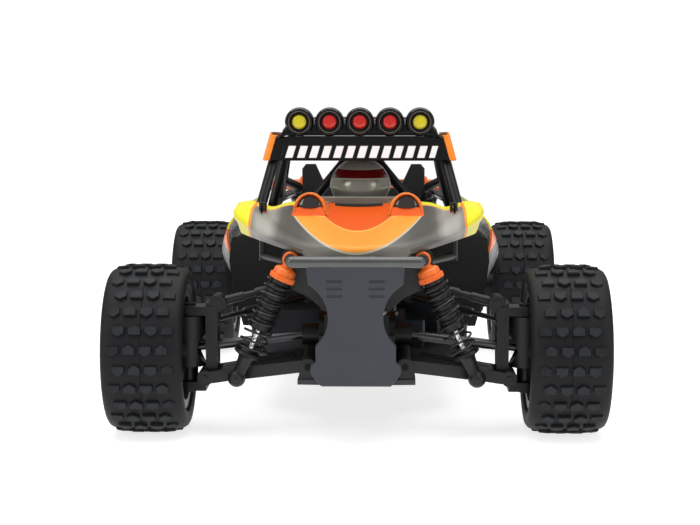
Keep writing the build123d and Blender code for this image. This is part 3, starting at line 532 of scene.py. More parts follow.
def shock_tube(end, side):
    """Ribbed black cylinder with rolled rib edges and a bottom cap."""
    size = SHOCK[end]
    top, run = shock_line(end, side)
    r = size["body_r"]
    profile = [(11.0, 0.0), (11.0, r - 0.4), (13.2, r - 0.4)]
    along = 13.6
    while along < size["tube"] - 5:
        profile += [(along, r - 0.9), (along + 0.35, r - 0.1), (along + 0.6, r),
                    (along + 1.5, r), (along + 1.8, r - 0.1), (along + 2.1, r - 0.9)]
        along += 2.6
    foot = size["tube"]
    profile += [(foot - 4.2, r - 0.8), (foot - 4.0, r + 0.1), (foot - 0.6, r + 0.1)]
    profile += [(foot, r - 0.6), (foot, 1.7)]
    tube = lathe(profile, top, run, 48)
    body = f"{end}_shock_body_{side}"
    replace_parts(new_piece(f"shock_tube_{end}_{side}", *tube, BLACK, body, "shock_cap"), body)


def adjusting_collar(top, run):
    """Knurled ring under the cap: every other pair of points stands out."""
    u, v = basis(run)
    profile = [(8.5, -1.2), (8.6, -0.2), (9.0, 0.0), (10.8, 0.0), (11.2, -0.2), (11.3, -1.4)]
    n = 36 * 4

    def place(i, j):
        along, sink = profile[i]
        turn = 2 * math.pi * (j % n) / n
        r = 6.25 + sink + (0.22 if j % 4 < 2 else -0.12)
        return top + run * along + (u * math.cos(turn) + v * math.sin(turn)) * r

    return grid(len(profile), n + 1, place)


def shock_cap(end, side):
    """Orange screw cap with its eye, and the adjusting collar under it."""
    top, run = shock_line(end, side)
    rim = [(-2.5, 1.6), (-2.5, 3.6), (-2.1, 3.95)]
    eye_profile = rim + [(-along, r) for along, r in reversed(rim)] + rim[:1]
    eye = lathe(eye_profile, top, (0, 1, 0), 40)
    cap_profile = [(2.6, 0.0), (2.6, 2.4), (4.2, 2.7), (5.2, 4.9), (6.0, 5.5), (8.3, 5.6), (8.5, 5.2)]
    cap = lathe(cap_profile, top, run, 48)
    orange = joined(eye, cap, adjusting_collar(top, run))
    body = f"{end}_shock_body_{side}"
    new_piece(f"shock_cap_{end}_{side}", *orange, ORANGE, body, "shock_cap", sharp=28)


def shocks():
    for end in ENDS:
        for side in SIDES:
            shock_tube(end, side)
            shock_cap(end, side)
            spring(end, side)


# ---------------------------------------------------------------- roll cage and bumper
def rounded(points, radius, steps=6):
    """Points of a bent tube's middle line: straight runs with an arc at each corner."""
    points = [Vector(p) for p in points]
    line = [points[0]]
    for before, corner, after in zip(points, points[1:], points[2:]):
        a, b = (before - corner), (after - corner)
        reach = min(radius, a.length * 0.45, b.length * 0.45)
        start, stop = corner + a.normalized() * reach, corner + b.normalized() * reach
        for i in range(steps + 1):
            t = i / steps
            line.append(start * (1 - t) ** 2 + corner * 2 * t * (1 - t) + stop * t ** 2)
    return line + [points[-1]]


CAGE_R = 2.9
ROOF_FRONT = (45.5, -44, 141.5)
ROOF_REAR = (44, 38, 142)


def cage_runs():
    """Middle lines of the cage's left-side tubes, then of the tubes that cross it."""
    a_low, a_top = (57, -62, 98), ROOF_FRONT
    b_low, b_top = (55, 34, 98), ROOF_REAR
    bend, tail, end = (50.9, 96, 115.1), (55, 130, 101), (50, 194.6, 101)
    hoop = (30, 188, 46)
    v_foot = (36, 34, 98)
    sided = [
        [(56.5, -60, 31), a_low, a_top, b_top, bend, tail, end, hoop, (13, 170, 31)],
        [a_low, b_low, tail],
        [(56.5, 38, 31), b_low, b_top],
        [(0, 38, 142), v_foot],
        [bend, (43, 139, 108)],
    ]
    crossing = [a_top, b_top, b_low, end, hoop]
    return sided, crossing


def roll_cage():
    """Bent tubes with joint collars where the roof's cross tubes meet the sides."""
    sided, crossing = cage_runs()
    parts = []
    for line in sided:
        tube = sweep(rounded(line, 7.0), CAGE_R, 16)
        parts += [tube, mirrored(tube)]
    for x, y, z in crossing:
        parts.append(sweep([(-x, y, z), (x, y, z)], CAGE_R, 16))
    profile = [(-4.2, 2.8), (-4.0, 3.35), (4.0, 3.35), (4.2, 2.8)]
    for x, y, z in (ROOF_REAR, ROOF_FRONT):
        collar = lathe(profile, (x - 3.5, y, z), (1, 0, 0), 24)
        parts += [collar, mirrored(collar)]
    piece = fixed("roll_cage_tubes", joined(*parts), SATIN, "cage_black")
    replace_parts(piece, "roll_cage")


BUMPER_Y, BUMPER_Z = -183.2, 31.4
BUMPER_LEAN = 12.5 / 58.0
BUMPER_WALL = 3.9
BAR_LENGTH = 65.5
BUMPER_HALF = [(0, BUMPER_Z), (17.2, BUMPER_Z), (21.6, 37.6), (21.6, 41.5), (19.2, 43.0), (19.2, 51.5)]
BUMPER_TOP = [(22.6, 81.5), (23.4, 91.4), (0, 91.4)]
WAIST = (13.2, 66.5)


def arc_through(start, middle, end, steps):
    """Points of the circle arc through three points."""
    (ax, ay), (bx, by), (cx, cy) = start, middle, end
    d = 2 * (ax * (by - cy) + bx * (cy - ay) + cx * (ay - by))
    a2, b2, c2 = ax**2 + ay**2, bx**2 + by**2, cx**2 + cy**2
    ux = (a2 * (by - cy) + b2 * (cy - ay) + c2 * (ay - by)) / d
    uy = (a2 * (cx - bx) + b2 * (ax - cx) + c2 * (bx - ax)) / d
    r = math.hypot(ax - ux, ay - uy)
    a0 = math.atan2(ay - uy, ax - ux) % (2 * math.pi)
    a1 = math.atan2(cy - uy, cx - ux) % (2 * math.pi)
    turns = [a0 + (a1 - a0) * i / steps for i in range(1, steps)]
    return [(ux + r * math.cos(turn), uy + r * math.sin(turn)) for turn in turns]


def bumper_material():
    """Textured moulding with three plain level grooves on each side of the top, coloured darker as
    painted shade.
    """
    paint = Paint("bumper_slate", (0.027, 0.031, 0.041), 0.5, specular=0.4)
    fine, slow = paint.noise(1.1, 4.0), paint.noise(0.05)
    x, y, z = paint.place()
    within = x.size().between(6.5, 13.5)
    marks = (z - 76.0).size().below(0.55) * within
    for level in (79.6, 83.2):
        marks = marks.most((z - level).size().below(0.55) * within)
    paint.over(slow.above(0.5, 0.5) * 0.6, (0.037, 0.042, 0.054))
    # Painted shade: the grooves are coloured darker here, as well as sunk by the bump below.
    paint.over(marks, (0.014, 0.015, 0.018))
    return paint.gloss(fine, 0.2).bump(fine, 0.06).bump(marks, -0.7).finish()


def bumper_plate():
    """Leaning waisted plate with rounded edges."""
    half = BUMPER_HALF + arc_through(BUMPER_HALF[-1], WAIST, BUMPER_TOP[0], 20) + BUMPER_TOP
    outline = half[:-1] + [(-x, z) for x, z in reversed(half[1:-1])]
    near = [(x, BUMPER_Y - (z - BUMPER_Z) * BUMPER_LEAN, z) for x, z in outline]
    far = [(x, y + BUMPER_WALL, z) for x, y, z in near]
    plate = fixed("bumper_plate", slab(near, far), bumper_material(), "bumper_grey", sharp=25)
    round_edges(plate, 0.7)
    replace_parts(plate, "front_bumper")


def front_bumper():
    """The plate, the glossy bar across its top, its foot on the chassis and two stays."""
    bumper_plate()
    end = [(0, 0), (0.3, 1.5), (1.4, 2.5), (3, 2.75)]
    profile = end + [(BAR_LENGTH - along, r) for along, r in reversed(end)]
    bar = lathe(profile, (-BAR_LENGTH / 2, -194.75, 92.3), (1, 0, 0), 32)
    fixed("bumper_bar", bar, BAR, "bumper_grey")
    outline = ((-15, 31), (15, 31), (15, 34), (-15, 34))
    foot = slab([(x, -181, z) for x, z in outline], [(x, -158, z) for x, z in outline])
    stays = [sweep([(s * 9, -190, 84), (s * 9, -149, 74.2)], 2.0, 16) for s in (-1, 1)]
    rest = fixed("bumper_foot", joined(foot, *stays), BLACK, "bumper_grey")
    round_edges(rest, 0.5, 2)


# ---------------------------------------------------------------- body shell
HOOD_ROWS = [-174.0, -158.0, -130.0, -102.0, -66.0]
HOOD_EDGE_X = list(zip(HOOD_ROWS, (24.0, 35.5, 51.0, 62.5, 65.0)))
HOOD_EDGE_Z = list(zip(HOOD_ROWS, (95.8, 98.2, 103.2, 108.6, 110.6)))
HOOD_MID_Z = list(zip(HOOD_ROWS, (97.0, 100.4, 106.4, 109.6, 110.9)))
HOOD_CENTRE_Z = list(zip(HOOD_ROWS, (96.6, 98.4, 101.4, 105.0, 109.6)))
HOOD_LIP_DROP = list(zip(HOOD_ROWS, (2.6, 3.6, 6.2, 10.5, 13.5)))


def hood_height(y, u):
    """Height of the hood top: a valley in the middle, shoulders, a scoop and an outer ridge."""
    centre, mid, edge = curve(HOOD_CENTRE_Z, y), curve(HOOD_MID_Z, y), curve(HOOD_EDGE_Z, y)
    valley = 0.5 - 0.5 * math.cos(math.pi * min(1.0, u / 0.52))
    z = centre + (mid - centre) * valley
    if u > 0.52:
        z = mid + (edge - mid) * (u - 0.52) / 0.48
    wide = min(1.0, max(0.0, (y + 165) / 45))
    scoop = math.exp(-((u - 0.72) / 0.09) ** 2)
    ridge = math.exp(-((u - 0.91) / 0.05) ** 2)
    return z + wide * (0.9 * ridge - 2.6 * scoop)


def livery_colours(paint, x, y, z):
    """Orange crescent on grey with a darker recess above it, and yellow towards the doors. The grey
    carries painted shade over the scoops, lighter grey with a painted highlight on the ridges' inner
    walls, and a painted shadow along the hood's back edge in the middle.
    """
    side = x.size()
    middle, shoulder = side.below(33), side.above(33.5)
    flank = y.above(-128)
    seen = z + (y + 130.0) * 0.083
    outer = (side * (1 / 32.4)).power(1.9) * 18.4 + 91.2
    inner = ((side * (1 / 17.0)).power(2.0) * 7.4 + 101.6).least(109.2)
    above_outer, above_inner = seen - outer, seen - inner
    # Painted shade: darker olive grey over the scoop on each side of the hood.
    paint.over(side.between(22, 42, 12) * seen.above(94, 5), (0.075, 0.072, 0.06))
    # Lighter grey on the inner wall of the outer ridge: partly its paint, partly a painted highlight.
    paint.over(side.between(42, 53.5, 5) * seen.above(98, 4), (0.34, 0.33, 0.29))
    paint.over(above_outer.between(-1.1, 0.1, 0.3) * middle, (0.50, 0.46, 0.34))
    paint.over(above_outer.above(0.0) * middle, (0.90, 0.32, 0.030))
    paint.over(above_inner.between(-0.55, 0.15, 0.3) * side.below(20), (0.95, 0.50, 0.12))
    paint.over(above_inner.above(0.0, 0.3) * side.below(34), (0.78, 0.10, 0.004))
    # Painted shadow: black along the back edge of the hood in the middle, where the hood meets the
    # dash.
    paint.over(y.above(-74.5) * side.below(13), (0.01, 0.01, 0.01))
    paint.over(y.between(-86.5, -82.0) * shoulder, (0.90, 0.42, 0.14))
    paint.over(y.above(-82.0) * shoulder, (0.86, 0.80, 0.012))
    paint.over(side.between(54.6, 56.0) * flank, (0.90, 0.27, 0.03))
    paint.over(side.above(56.0) * flank, (0.90, 0.82, 0.015))


def livery_hood():
    """Grey with slightly uneven gloss, under the painted shapes."""
    paint = Paint("livery_hood", (0.155, 0.15, 0.128), 0.34, specular=0.22)
    flake = paint.noise(2.5)
    x, y, z = paint.place()
    livery_colours(paint, x, y, z)
    return paint.gloss(paint.noise(0.05), 0.12).gloss(flake, 0.08).finish()


def livery_side():
    """Black with a tapering orange flash, yellow top edge, grey stripe and white lower edge."""
    paint = Paint("livery_side", (0.007, 0.007, 0.008), 0.25, specular=0.35)
    x, y, z = paint.place()
    lower = ((y + 20.0) * -0.437 + 42.0).most((y - 50.0) * 0.476 + 42.0).most(42.0)
    flash = z.above(93.0) * y.below(96.0)
    arrow = z.between(84.0, 93.2) * ((z - 84.0) * 4.2 - 62.0 - y).above(0.0)
    paint.over(flash, (0.88, 0.15, 0.008))
    paint.over(arrow, (0.88, 0.15, 0.008))
    paint.over((z - (y * 0.06) - 101.0).above(0.0), (0.90, 0.84, 0.015))
    paint.over((z - lower).below(4.4), (0.80, 0.80, 0.80))
    stripe = (z + y * 0.25 - 72.0).between(0.0, 3.0) * y.above(-30.0)
    paint.over(stripe, (0.33, 0.32, 0.29))
    return paint.gloss(paint.noise(0.05), 0.14).finish()


def hood_sheet():
    """The hood's top with its turned-down lip, and the rounded front edge of the nose."""
    rows, top, lip = 46, 30, 6
    length = HOOD_ROWS[-1] - HOOD_ROWS[0]

    def place(i, j):
        y = HOOD_ROWS[0] + length * i / (rows - 1)
        width = curve(HOOD_EDGE_X, y)
        u = min(1.0, j / top)
        z = hood_height(y, u)
        x = width * u
        nose = max(0.0, (-130.0 - y) / 44.0)
        y_round = y - 1.5 * nose + 10.0 * nose * u * u
        if j > top:
            down = (j - top) / lip
            drop = curve(HOOD_LIP_DROP, y)
            x += 1.3 * math.sin(min(1.0, 2.2 * down) * math.pi) - 3.0 * down ** 1.5
            z -= drop * (down if down > 0.3 else down ** 1.3 * 0.3 ** -0.3)
        return x, y_round, z

    cols = top + lip + 1
    half = grid(rows, cols, place)
    edge = [place(0, j) for j in range(cols)]
    drops = ((0.0, 0.0), (0.8, 0.7), (1.1, 1.9), (0.9, 3.4))

    def front(i, j):
        ahead, down = drops[i]
        x, y, z = edge[j]
        return x, y - ahead, z - down

    nose = grid(len(drops), cols, front)
    return both_sides(half, nose)


def hood():
    piece = fixed("hood", hood_sheet(), livery_hood(), "livery", sharp=60)
    thicken(piece, 1.2, 1)
    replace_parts(piece, "body_shell")


ARCH_X = 25.0
GLASS_R = 6.8
# y, crown height, half width and floor height, from the mouth backwards
ARCH_STATIONS = [
    (-111.4, 118.9, 7.4, 108.0), (-112.0, 119.4, 7.8, 107.4), (-111.0, 119.8, 8.1, 107.2),
    (-104.0, 119.6, 8.3, 107.4), (-92.0, 117.9, 8.5, 108.2), (-80.0, 115.0, 8.7, 109.0),
    (-68.0, 112.4, 9.0, 109.6),
]


def arch_ring(y, crown, half_w, floor):
    """Half ellipse on short legs, seen from the front, at one station."""
    points = [(-half_w - 1.6, floor), (-half_w - 0.3, floor + 1.6)]
    for k in range(21):
        turn = math.pi - math.pi * k / 20
        points.append((half_w * math.cos(turn), floor + 3.0 + (crown - floor - 3.0) * math.sin(turn)))
    points += [(half_w + 0.3, floor + 1.6), (half_w + 1.6, floor)]
    return [(ARCH_X + x, y, z) for x, z in points]


def lamp_arches():
    """Two raised half-round arches on the hood, each with a dark glass in its mouth."""
    rings = [arch_ring(*station) for station in ARCH_STATIONS]
    shell = grid(len(rings), len(rings[0]), lambda i, j: rings[i][j])
    closing = (rings[-1], [tuple(range(len(rings[-1])))])
    arches = both_sides(shell, closing)
    thicken(fixed("hood_arches", arches, ARCH_ORANGE, "livery", sharp=50), 1.1)

    def dome(i, j):
        part, turn = i / 8, math.pi * j / 24
        r = GLASS_R * part
        return ARCH_X + r * math.cos(turn), -110.0 - 2.2 * (1 - part * part), 111.9 + r * math.sin(turn)

    glass = grid(9, 25, dome)
    fixed("arch_glass", both_sides(glass), GLASS, "lens")
    high, low = (-111.2, 112.2), (-113.6, 107.6)
    corners = [(ARCH_X - 7.2, *high), (ARCH_X + 7.2, *high), (ARCH_X + 8.2, *low), (ARCH_X - 8.2, *low)]
    sill = (corners, [(0, 1, 2, 3)])
    fixed("arch_sills", both_sides(sill), DEEP_ORANGE, "livery")


# y, then the (x, z) corners of the left panel from its top edge down
SIDE_SECTIONS = [
    (-65.8, [(62.5, 110.2), (72, 98), (70, 80), (64, 62)]),
    (-20.0, [(61.5, 109.8), (79, 85), (72, 63), (63.4, 42)]),
    (50.0, [(60.5, 107.8), (78, 86), (71.5, 64), (63.4, 42)]),
    (92.0, [(60.5, 104.8), (71, 90), (68, 74), (64.5, 62)]),
]


def side_panels():
    """Smooth sheets through the sections, one on each side."""
    rows, cols = 40, 28
    start, stop = SIDE_SECTIONS[0][0], SIDE_SECTIONS[-1][0]

    def corner(k, part, y):
        return k, curve([(at, corners[k][part]) for at, corners in SIDE_SECTIONS], y)

    def place(i, j):
        y = start + (stop - start) * i / (rows - 1)
        down = 3.0 * j / (cols - 1)
        x, z = (curve([corner(k, part, y) for k in range(4)], down) for part in (0, 1))
        return x, y, z

    sheets = both_sides(grid(rows, cols, place))
    thicken(fixed("side_panels", sheets, livery_side(), "livery", sharp=60), 1.1)


def wheel_wells():
    """Black inner walls behind the front wheels, from the cockpit side out to the side panels."""
    outline = [(30, 58), (52, 58), (54, 44), (63.5, 44), (69, 64), (71, 80), (69.5, 92.5), (61.5, 93.5),
               (61.5, 107), (30, 108)]
    well = slab(*[[(x, y, z) for x, z in outline] for y in (-66.6, -65.9)])
    fixed("wheel_wells", both_sides(well), BLACK, "livery")


def rear_deck():
    """Painted deck over the tail tubes, a little crowned and rising rearwards."""
    def place(i, j):
        part, across = i / 11, j / 24 * 2 - 1
        return 64 * across, 166 + 26 * part, 105.2 + 4.2 * part ** 1.3 - 1.2 * across ** 4

    piece = fixed("rear_deck", grid(12, 25, place), livery_deck(), "livery")
    thicken(piece, 1.2, 1)


def livery_deck():
    """Grey with a black middle, two yellow lines and an orange border."""
    paint = Paint("livery_deck", (0.24, 0.235, 0.21), 0.28, specular=0.3)
    x, y, z = paint.place()
    side = x.size()
    border = side.above(60.5).most(y.below(169.0)).most(y.above(189.2))
    paint.over(side.below(30.0), (0.013, 0.013, 0.014))
    paint.over(side.between(30.0, 33.0), (0.90, 0.84, 0.015))
    paint.over(border, (0.88, 0.15, 0.008))
    return paint.gloss(paint.noise(0.05), 0.12).finish()


# ---------------------------------------------------------------- roof
LAMP_STEP = 16.7
LAMP_XS = [i * LAMP_STEP for i in range(-2, 3)]
LAMP_Y = -49.3
LAMP_Z = 154.9
VISOR_LOW, VISOR_RISE = 134.2, 12.8
VISOR_HALF, VISOR_TAPER = 49.6, 3.4
VISOR_LEAN = 4.9


def visor_material():
    """Gloss black band with a row of plain slanted white bars."""
    paint = Paint("visor_band", (0.004, 0.004, 0.0045), 0.2, specular=0.3)
    x, y, z = paint.place()
    slant = x - (z - 138.7) * 0.3
    bars = (slant * (2 * math.pi / 6.6)).wave().above(-0.35, 0.25)
    band = z.between(135.4, 141.8, 0.3) * slant.size().below(42.4)
    paint.over(bars * band, (0.86, 0.86, 0.86))
    return paint.gloss(paint.noise(0.04), 0.08).finish()


def visor_face(i, j):
    """Band over the windscreen: it leans back, narrows upwards and bows forward in the middle."""
    part, across = i / 8, j / 40 * 2 - 1
    half = VISOR_HALF - VISOR_TAPER * part
    bow = 1.2 * across * across
    return half * across, -54.9 + VISOR_LEAN * part + bow, VISOR_LOW + VISOR_RISE * part


def roof_skin(i, j):
    """Roof behind the band, crowned across."""
    part, across = i / 20, j / 40 * 2 - 1
    half = 46.2 - 2.2 * part
    crown = 3.4 * (1 - across ** 4) ** 0.8 if abs(across) < 1 else 0.0
    return half * across, -50 + 90 * part, 147.0 + crown


CHEEK_OUT = [(0, -0.6), (1, 3.0), (2, 3.9), (3, 2.6), (4, 0.2)]
CHEEK_BACK = [(0, 0.3), (1, 0.6), (2, 4.0), (3, 20.0), (4, 42.0)]
CHEEK_LOW = [(0, VISOR_LOW), (1, VISOR_LOW), (2, 134.8), (3, 141.0), (4, 146.0)]
CHEEK_HIGH = [(0, 147.6), (1, 148.2), (2, 149.2), (3, 149.0), (4, 148.2)]


def roof_cheek(i, j):
    """Corner piece: it starts flush with the visor's end and runs back along the roof's edge."""
    t, up = i / 6, j / 6
    low, high = curve(CHEEK_LOW, t), curve(CHEEK_HIGH, t)
    z = low + (high - low) * up
    part = (z - VISOR_LOW) / VISOR_RISE
    x = VISOR_HALF - VISOR_TAPER * part + curve(CHEEK_OUT, t)
    return x, -53.7 + VISOR_LEAN * part + curve(CHEEK_BACK, t), z


def lamp_pod(x):
    """Bulbous housing with a rolled front lip and a shallow dish for the lens."""
    outer = [(0.0, 5.4), (-0.5, 5.7), (-0.7, 6.4), (-0.5, 7.1), (0.4, 7.7), (2.0, 8.0), (5, 8.05),
             (10.5, 8.0), (13.5, 7.4), (16.2, 6.0), (18.0, 4.0), (18.9, 1.8), (19.1, 0.0)]
    inner = [(1.9, 0.0), (1.9, 4.9), (0.9, 5.2), (0.0, 5.4)]
    return lathe(inner + outer[1:], (x, LAMP_Y, LAMP_Z), (0, 1, 0), 56)


def lamp_base(i, j):
    """Body of the lamp bar that the five housings grow out of."""
    part, across = i / 16, j / 80 * 2 - 1
    x = 43.8 * across
    hump = abs(math.cos(x / LAMP_STEP * math.pi)) ** 1.5
    edge = max(0.0, 1 - abs(across) ** 7) ** 0.6
    turn = math.pi * part
    top = (8.2 + 1.6 * hump) * edge
    return x, -47.9 + 11.5 * (1 - math.cos(turn)), 147.4 + (top + 2.0 * edge) * math.sin(turn) ** 0.45


def roof():
    """Skin, band, corner pieces and the lamp bar with its housings."""
    skin = fixed("roof_skin", grid(21, 41, roof_skin), GLOSS, "roof_black", sharp=50)
    thicken(skin, 1.3)
    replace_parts(skin, "roof_light_bar")
    band = grid(9, 41, visor_face)
    thicken(fixed("visor_band", band, visor_material(), "roof_black", sharp=50), 1.3)
    cheeks = both_sides(grid(25, 7, roof_cheek))
    thicken(fixed("roof_cheeks", cheeks, ARCH_ORANGE, "livery", sharp=60), 1.0)
    lamps = joined(grid(17, 81, lamp_base), *[lamp_pod(x) for x in LAMP_XS])
    fixed("lamp_pods", lamps, GLOSS, "roof_black", sharp=32)


def lens_material(name, color):
    """Glossy tinted plastic with faint moulded cells."""
    paint = Paint(name, color, 0.18, coat=0.6)
    cells = paint.noise(0.9, 1.0)
    paint.over(cells.above(0.5, 0.3) * 0.35, tuple(c * 0.72 for c in color))
    return paint.bump(cells, 0.08).finish()


def lenses():
    """Five domed discs, the outer two yellow, each in a rolled ring."""
    red = lens_material("lens_red", (0.62, 0.012, 0.006))
    yellow = lens_material("lens_yellow", (0.72, 0.66, 0.010))
    profile = [(0.5, 0.0), (0.4, 1.6), (0.5, 3.0), (0.9, 3.8), (1.4, 4.0), (2.4, 4.0)]
    for i, x in enumerate(LAMP_XS):
        disc = lathe(profile, (x, LAMP_Y, LAMP_Z), (0, 1, 0), 40)
        tint = yellow if i in (0, 4) else red
        piece = fixed(f"lens_{i + 1}", disc, tint, "lens", sharp=60)
        if i == 0:
            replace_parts(piece, "lamp_lenses")
    rolled = [(-0.45, 5.55), (-0.75, 5.65), (-0.8, 5.85), (-0.75, 6.05), (-0.4, 6.1), (0.3, 5.9),
              (0.3, 5.6), (-0.45, 5.55)]
    rings = [lathe(rolled, (x, LAMP_Y, LAMP_Z), (0, 1, 0), 48) for x in LAMP_XS]
    fixed("lens_rings", joined(*rings), RING, "lens")


# ---------------------------------------------------------------- driver
HELMET = Vector((0.0, -14.0, 117.5))


def helmet_point(turn, tilt, grow=0.0):
    """Point of the helmet: turn goes round from the front, tilt from the crown (0) down."""
    x, y, z = math.sin(tilt) * math.sin(turn), -math.sin(tilt) * math.cos(turn), math.cos(tilt)
    low = max(0.0, -z)
    wide = 16.7 - 2.2 * low + grow
    deep = 17.6 - 1.2 * low + grow
    tall = (16.6 if z > 0 else 14.4) + grow
    chin = 2.4 * low * max(0.0, -y) * 2.0
    flat = 1.0 + 0.05 * (1 - abs(z)) ** 0.7
    return HELMET + Vector((x * wide * flat, y * deep * flat - chin, z * tall))


def helmet_patch(turns, tilts, grow, rows=20, cols=48):
    """Part of the helmet's surface between two turns and two tilts."""
    def place(i, j):
        tilt = tilts[0] + (tilts[1] - tilts[0]) * i / (rows - 1)
        turn = turns[0] + (turns[1] - turns[0]) * j / (cols - 1)
        return helmet_point(turn, tilt, grow)

    return grid(rows, cols, place)


def helmet_shell():
    """Silver grey with a dark red band round the brow and another round the jaw."""
    paint = Paint("helmet_shell", (0.62, 0.61, 0.58), 0.24, coat=0.6, metallic=0.15)
    x, y, z = paint.place()
    height = z - y * 0.05
    paint.over(height.between(122.6, 129.8, 0.3), (0.74, 0.72, 0.68))
    paint.over(height.between(123.6, 128.8, 0.3), (0.23, 0.008, 0.008))
    paint.over(height.between(106.0, 112.0, 0.3) * y.above(-18), (0.23, 0.008, 0.008))
    return paint.gloss(paint.noise(0.06), 0.1).finish()


def helmet():
    """Shell, closed visor and the rim round the visor."""
    dome = helmet_patch((-math.pi, math.pi), (0.02, 2.45), 0.0, 48, 96)
    shell = fixed("helmet_shell", dome, helmet_shell(), "helmet_silver", sharp=60)
    thicken(shell, 1.0)
    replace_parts(shell, "driver_figure")
    window = helmet_patch((-1.12, 1.12), (1.30, 1.98), 0.55)
    fixed("helmet_visor", window, VISOR, "helmet_silver")
    corners = [(-1.14, 1.28), (1.14, 1.28), (1.14, 2.0), (-1.14, 2.0)]
    line = []
    for (t0, c0), (t1, c1) in zip(corners, corners[1:] + corners[:1]):
        line += [helmet_point(t0 + (t1 - t0) * k / 16, c0 + (c1 - c0) * k / 16, 0.5) for k in range(16)]
    fixed("helmet_rim", sweep(line, 0.55, 8, closed=True), PALE, "helmet_silver")


def suit():
    """Dark woven cloth with a red line down each side of the chest."""
    paint = Paint("race_suit", (0.035, 0.036, 0.040), 0.85, specular=0.2)
    x, y, z = paint.place()
    paint.over(x.size().between(13.0, 15.2), (0.50, 0.03, 0.01))
    return paint.bump(paint.noise(3.0, 2.0, (1, 1, 0.4)), 0.08).bump(paint.noise(0.12), 0.9).finish()


# z, half width, half depth and middle y
BUST_LEVELS = [
    (61.8, 17, 17, -7), (72, 19, 16, -7), (82, 24, 15, -6), (89, 26, 14, -5), (94, 22, 12, -5),
    (98, 13, 9.5, -6), (101, 9, 8.5, -9), (105, 8.5, 8.5, -11),
]


def driver_body():
    """Chest, shoulders and neck of the seated driver."""
    low, high = BUST_LEVELS[0][0], BUST_LEVELS[-1][0]

    def place(i, j):
        z = low + (high - low) * i / 30
        wide, deep, mid = (curve([(level[0], level[k]) for level in BUST_LEVELS], z) for k in (1, 2, 3))
        turn = 2 * math.pi * j / 48
        c, s = math.cos(turn), math.sin(turn)
        return wide * math.copysign(abs(c) ** 0.8, c), mid + deep * math.copysign(abs(s) ** 0.8, s), z

    torso = grid(31, 49, place)
    fixed("driver_suit", torso, suit(), "helmet_silver")


# ---------------------------------------------------------------- shock shafts, CAD nodes
def shock_shaft(end, side):
    """Polished rod, coil seat, boot and round ball end, all turned on the shock's line."""
    size = SHOCK[end]
    top, run = shock_line(end, side)
    eye_x, eye_z = size["low_eye"]
    length = math.hypot(eye_x - abs(top.x), eye_z - top.z)
    seat = size["seat"]
    start = size["tube"] - 9
    shaft = lathe([(start, 0.0), (start, 1.5), (seat + 1, 1.5), (seat + 1, 0)], top, run, 24)
    body = f"{end}_shock_shaft_{side}"
    bright = new_piece(f"shock_rod_{end}_{side}", *shaft, STEEL, body, "shock_steel")
    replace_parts(bright, f"{end}_shock_shaft_{side}")
    cup = [(seat - 1.4, 1.7), (seat - 1.4, 3.6), (seat - 0.2, 4.6), (seat, size["coil_r"] + 0.2),
           (seat + 1.4, size["coil_r"] + 0.5), (seat + 2.0, size["coil_r"] - 0.4), (seat + 2.6, 4.4),
           (seat + 3.4, 3.9), (length - 4.4, 3.0)]
    for k in range(13):
        turn = 0.85 + (math.pi - 0.85) * k / 12
        cup.append((length - BALL_R * math.cos(turn), BALL_R * math.sin(turn)))
    new_piece(f"shock_end_{end}_{side}", *lathe(cup, top, run, 40), BLACK, body, "moulded_black")


def fastener_material():
    """Bright metal at mid height; black low down and on the body clips high on the posts."""
    paint = Paint("fasteners", (0.62, 0.61, 0.58), 0.28, metallic=1.0)
    x, y, z = paint.place()
    paint.over(z.above(104.0).most(z.below(45.0)), (0.012, 0.012, 0.013))
    return paint.gloss(paint.noise(1.5), 0.25).finish()


def post_material():
    """Black towers whose body posts carry a red cap."""
    paint = Paint("towers", (0.013, 0.013, 0.014), 0.42)
    x, y, z = paint.place()
    fine = paint.noise(2.2)
    paint.over(z.between(104.0, 109.5) * y.above(-106) * y.below(-90), (0.55, 0.05, 0.02))
    return paint.gloss(fine, 0.15).bump(fine, 0.02).finish()


def plain_nodes():
    """Better procedural materials for the CAD nodes that stay as they are."""
    grey = moulded("chassis_grey", (0.020, 0.021, 0.023), 0.5)
    tray = moulded("tray_grey", (0.20, 0.195, 0.165), 0.55, grain=0.04)
    servo = moulded("servo_black", (0.016, 0.016, 0.017), 0.4)
    wrap = moulded("battery_wrap", (0.012, 0.014, 0.022), 0.35, grain=0.01)
    blue = moulded("radio_blue", (0.010, 0.014, 0.026), 0.45, grain=0.01)
    gear_white = moulded("gear_white", (0.70, 0.69, 0.64), 0.4, grain=0.01, lighter=1.05)
    brass = turned_metal("pinion_brass", (0.60, 0.42, 0.16), 0.3)
    can = turned_metal("motor_can", (0.50, 0.50, 0.52), 0.3, (0.1, 1, 1))
    for end in ENDS:
        for side in SIDES:
            node_material(RIM, f"{end}_wheel_{side}")
            node_material(DARK_STEEL, f"{end}_driveshaft_{side}")
            for part in ("arm", "hub_carrier", "upper_link"):
                node_material(BLACK, f"{end}_{part}_{side}")
    for side in SIDES:
        node_material(BLACK, f"front_knuckle_{side}")
        node_material(BLACK, f"front_tie_rod_{side}")
    for name in ("gearbox_cases", "servo_saver_crank", "idler_crank", "drag_link"):
        node_material(BLACK, name)
    carried = {
        "chassis_plate": grey, "cockpit_tray": tray, "steering_servo": servo, "battery_pack": wrap,
        "radio_gear": blue, "spur_gear": gear_white, "motor_pinion": brass, "motor": can,
        "fasteners": fastener_material(), "shock_towers": post_material(),
    }
    for name, material in carried.items():
        node_material(material, name)


# ---------------------------------------------------------------- studio
FLOOR_R = 1400.0
WALL_BEND = 800.0


